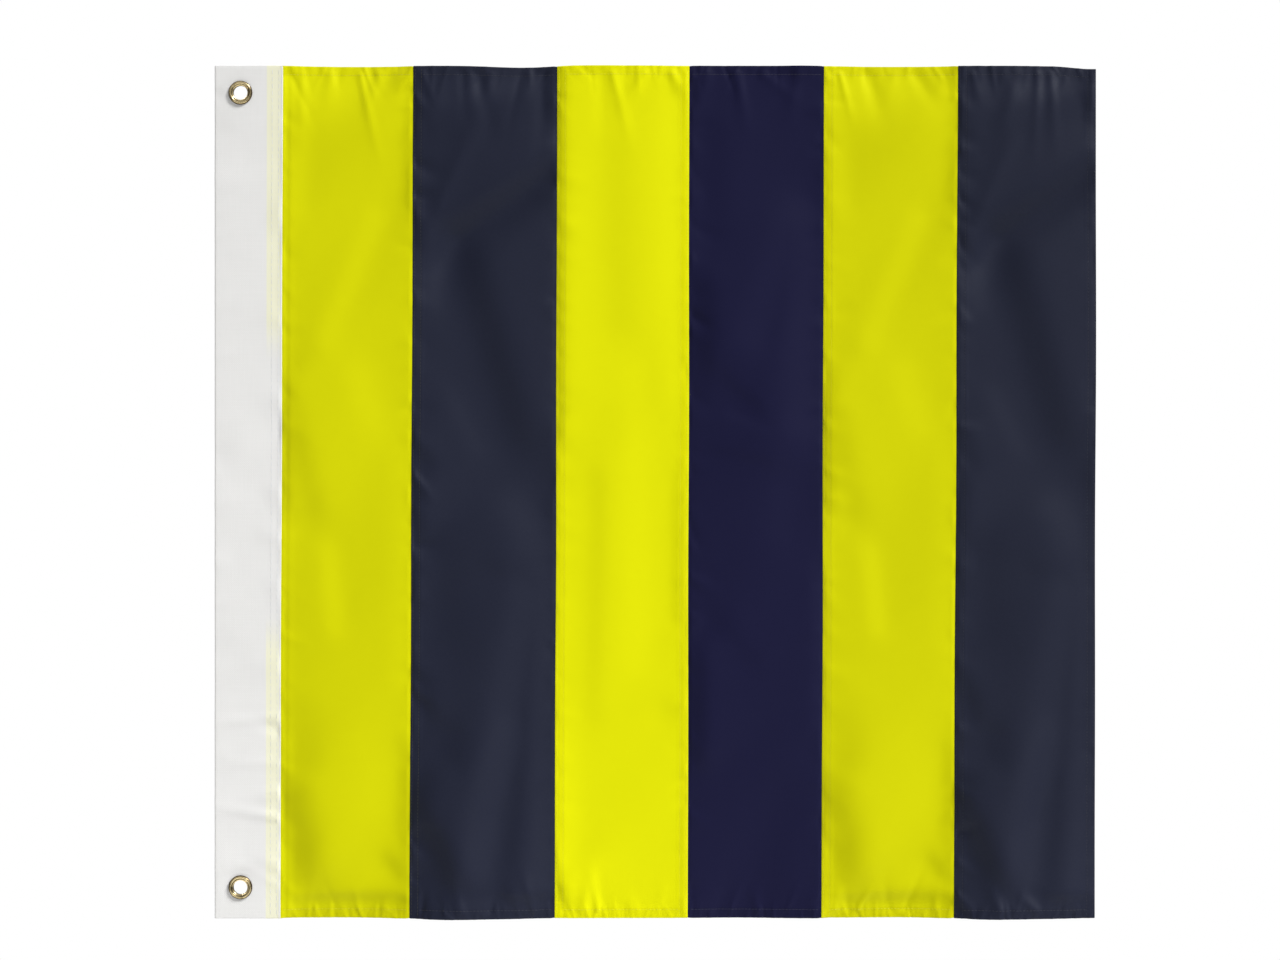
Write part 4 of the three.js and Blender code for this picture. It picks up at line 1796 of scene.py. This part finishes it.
class Flag:
    """The whole flag: heading, grommets, six stripes and every row of stitches."""

    BEND_START = 7.5 * MM
    BEND_WIDTH = 42.0 * MM
    FACE = 0.125 * MM  # half the bunting's thickness
    HEM_SHOW = 0.97  # how much of the cloth's colour shows through the fine hem thread
    SEAM_SHOW = 0.95  # and through the seam thread
    HEADING_SEED, HEM_SEED, SEAM_SEED = 40, 60, 80

    def __init__(self) -> None:
        """Takes the sizes of the sewing and makes the surface that everything lies on."""
        self.sewing = Sewing()
        self.surface = FlagSurface(self.sewing)
        self.heading = Heading(self.surface)
        self.grommets = [Grommet("upper"), Grommet("lower")]
        self.threads: dict[str, Material] = {}

    def thread(self, slot: Slot, cloth: Bunting | None = None, share: float = 0.0) -> Material:
        """The material of a thread, on a cloth where one is given, made once for each.

        Args:
            slot: the thread's slot.
            cloth: the cloth that it is sewn into.
            share: how much of the cloth's colour shows through.

        Returns:
            The material.
        """
        finish = THREADS[slot].sunk_in(cloth, share) if cloth else THREADS[slot]
        if finish.name not in self.threads:
            self.threads[finish.name] = finish.material()
        return self.threads[finish.name]

    def follow(self, obj: Piece) -> None:
        """Bakes the placement of a piece of a stripe into its mesh.

        Args:
            obj: the piece.
        """
        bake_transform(obj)

    def dress(self, obj: Piece, material: Material, slot: Slot, *nodes: str) -> None:
        """Gives a piece its material and hides the nodes that it stands for."""
        obj.data.materials.append(material)
        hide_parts(*nodes)
        LOG.info("%s: %d faces", obj.name, len(obj.data.polygons))

    def build_heading(self) -> None:
        """Makes the heading, its two rows of stitches and the grommets."""
        canvas = self.heading.build()
        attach(canvas, "heading")
        self.dress(canvas, Canvas().material(self.heading), Slot.CANVAS, "canvas_heading")
        face = self.heading.face + self.heading.canvas / 2
        for seed, node in enumerate(self.heading.threads, start=self.HEADING_SEED):
            row = self._row(node, Along.UPRIGHT, -face, seed, self.heading)
            obj = row.build(self.surface, face)
            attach(obj, "heading")
            self.dress(obj, self.thread(Slot.PALE_THREAD), Slot.PALE_THREAD, node)
        brass = Brass().material()
        for grommet in self.grommets:
            metal = ((grommet.build_eyelet(), grommet.eyelet), (grommet.build_washer(), grommet.washer))
            for obj, node in metal:
                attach(obj, "heading")
                self.dress(obj, brass, Slot.BRASS, node)

    def build_stripe(self, plan: StripePlan) -> None:
        """Makes one stripe and its stitches.

        Args:
            plan: the stripe's plan.
        """
        cloth = SewnCloth(plan, self.surface)
        obj = cloth.build()
        nodes = [plan.node] + (["stripe_1_tucked_edge"] if plan.number == 1 else [])
        self.dress(obj, finish_of(plan).material(cloth), plan.slot, *nodes)
        self.follow(obj)
        neighbour = "heading_canvas" if plan.number == 1 else STRIPES[plan.number - 2].piece
        for edge in ("top", "bottom"):
            self._hem_row(plan, f"hem_thread_{edge}_{plan.number}")
        for side in Side:
            finish = plan.hoist if side is Side.HOIST else plan.fly
            if finish is Finish.FOLDED:
                for row in (1, 2):
                    self._seam_row(plan, f"seam_thread_{plan.number}_{side.value}_{row}")

    def _row(self, node: str, along: Along, front: float, seed: int, sizes: Sewing | Heading) -> StitchRow:
        """A row of stitches in the place of a node.

        Args:
            node: the row's node.
            along: the direction that the row runs in.
            front: the depth of the cloth's front face.
            seed: the seed of its unevenness.
            sizes: what its stitch length and its thread are.

        Returns:
            The row.
        """
        low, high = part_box(node)
        x, z = middle_of(node)
        upright = along is Along.UPRIGHT
        return StitchRow(
            name=node + "_stitches",
            along=along,
            low=low.z if upright else low.x,
            high=high.z if upright else high.x,
            at=x if upright else z,
            pitch=sizes.stitch,
            thread=sizes.thread,
            front=front,
            seed=seed,
        )

    def _hem_row(self, plan: StripePlan, node: str) -> None:
        """Sews one row of hem stitches, over every layer that the hem holds."""
        seed = self.HEM_SEED + 2 * plan.number + node.count("top")
        row = self._row(node, Along.LEVEL, -self.FACE, seed, self.sewing)

        def behind(x: Array) -> Array:
            """The depth of the hem's back face at a place."""
            return 2 * self.surface.hem_radius(x.ravel()).reshape(x.shape) + self.FACE

        obj = row.build(self.surface, behind)
        material = self.thread(Slot.PALE_THREAD, finish_of(plan), self.HEM_SHOW)
        self.dress(obj, material, Slot.PALE_THREAD, node)
        self.follow(obj)

    def _seam_row(self, plan: StripePlan, node: str) -> None:
        """Sews one row of seam stitches, which the hems carry over to the back."""
        seed = self.SEAM_SEED + 10 * plan.number + ord(node[-1]) + len(node)
        row = self._row(node, Along.UPRIGHT, -self.FACE, seed, self.sewing)
        reach = self.surface.height / 2 - self.sewing.hem_fold

        def behind(z: Array) -> Array:
            """The depth of the cloth's back face at a height."""
            over = np.abs(z - self.surface.middle) > reach
            return np.where(over, self.sewing.seam_hem_depth, self.sewing.fold_depth) + self.FACE

        obj = row.build(self.surface, behind)
        material = self.thread(plan.thread, finish_of(plan), self.SEAM_SHOW)
        self.dress(obj, material, plan.thread, node)
        self.follow(obj)


@dataclass(frozen=True)
class Studio:
    """Camera, soft lights, white surroundings and a pale floor."""

    lens: float = 100.0
    sensor: float = 36.0
    distance: float = 2.545
    aim: Place = (0.2859, -0.2771)
    low_light: float = 0.09
    high_light: float = 0.58
    sun: float = 3.58
    sun_from: tuple[float, float, float] = (0.62, -0.40, 0.68)
    sun_softness: float = math.radians(16)
    rear_sun: float = 1.6
    rear_sun_from: tuple[float, float, float] = (-0.45, 0.75, 0.5)
    lamp_distance: float = 2.0
    world_rise: tuple[float, float] = (-0.2, 0.8)  # from where to where the light grows, as heights
    floor_drop: float = 0.9
    floor_size: float = 5.0
    floor_shift: float = -0.8
    floor_colours: tuple[Colour, Colour] = ((0.82, 0.82, 0.81), (0.78, 0.78, 0.77))

    def build_camera(self) -> None:
        """Puts the camera straight in front of the flag."""
        data = bpy.data.cameras.new("camera")
        data.lens = self.lens
        data.sensor_width = self.sensor
        camera = link("camera", data)
        camera.location = (self.aim[0], -self.distance, self.aim[1])
        camera.rotation_euler = (math.pi / 2, 0, 0)
        bpy.context.scene.camera = camera
        bpy.context.scene.view_settings.view_transform = "Standard"

    def build_lights(self) -> None:
        """Hangs a broad soft light high on the right and a weaker one behind the flag."""
        for name, toward, power in (
            ("front_light", self.sun_from, self.sun),
            ("rear_light", self.rear_sun_from, self.rear_sun),
        ):
            data = bpy.data.lights.new(name, "SUN")
            data.angle = self.sun_softness
            data.energy = power
            light = link(name, data)
            x, y, z = toward
            light.rotation_euler = (math.atan2(math.hypot(x, y), z), 0, math.atan2(x, -y))
            away = self.lamp_distance
            light.location = (self.aim[0] + away * x, away * y, self.aim[1] + away * z)

    def build_world(self) -> None:
        """Makes the surroundings: white to look at, and as light brighter above than below."""
        world = bpy.data.worlds.new("surroundings")
        bpy.context.scene.world = world
        world.use_nodes = True
        world.node_tree.nodes.clear()
        hand = Nodes(world.node_tree)
        seen, light = (hand.add("ShaderNodeBackground") for _ in range(2))
        for shader in (seen, light):
            shader.inputs[0].default_value = (1, 1, 1, 1)
        height = hand.split(hand.add("ShaderNodeTexCoord").outputs["Generated"])[2]
        rise = hand.add("ShaderNodeMapRange", interpolation_type="SMOOTHSTEP")
        hand.wire(height, rise.inputs[0])
        for spot, value in enumerate((*self.world_rise, self.low_light, self.high_light), start=1):
            rise.inputs[spot].default_value = value
        hand.wire(rise.outputs[0], light.inputs[1])
        mix = hand.add("ShaderNodeMixShader")
        path = hand.add("ShaderNodeLightPath")
        hand.wire(path.outputs["Is Camera Ray"], mix.inputs[0])
        hand.wire(light.outputs[0], mix.inputs[1])
        hand.wire(seen.outputs[0], mix.inputs[2])
        out = hand.add("ShaderNodeOutputWorld")
        hand.wire(mix.outputs[0], out.inputs[0])

    def build_floor(self) -> None:
        """Lays the floor well below the flag."""
        half = self.floor_size / 2
        level = cad_box[0][2] - self.floor_drop
        corners = ((-half, -half), (half, -half), (half, half), (-half, half))
        points = np.array([(self.aim[0] + x, self.floor_shift + y, level) for x, y in corners])
        floor = link("floor", mesh_from("floor", points, [[0, 1, 2, 3]]))
        made = bpy.data.materials.new("pale_floor")
        made.use_nodes = True
        hand = Nodes(made.node_tree)
        surface = made.node_tree.nodes["Principled BSDF"]
        where = hand.add("ShaderNodeTexCoord").outputs["Object"]
        grain = hand.noise(where, 40.0, 3.0)
        hand.wire(hand.blend(grain, *self.floor_colours), surface.inputs["Base Color"])
        surface.inputs["Roughness"].default_value = 0.8
        floor.data.materials.append(made)


def main() -> None:
    """Builds the studio and the flag."""
    logging.basicConfig(level=logging.INFO, format="%(name)s %(message)s")
    studio = Studio()
    studio.build_camera()
    studio.build_lights()
    studio.build_world()
    studio.build_floor()
    build_weave()
    build_band()
    build_mottle()
    flag = Flag()
    flag.build_heading()
    for plan in STRIPES:
        flag.build_stripe(plan)
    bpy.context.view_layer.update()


if __name__ == "__main__":
    main()
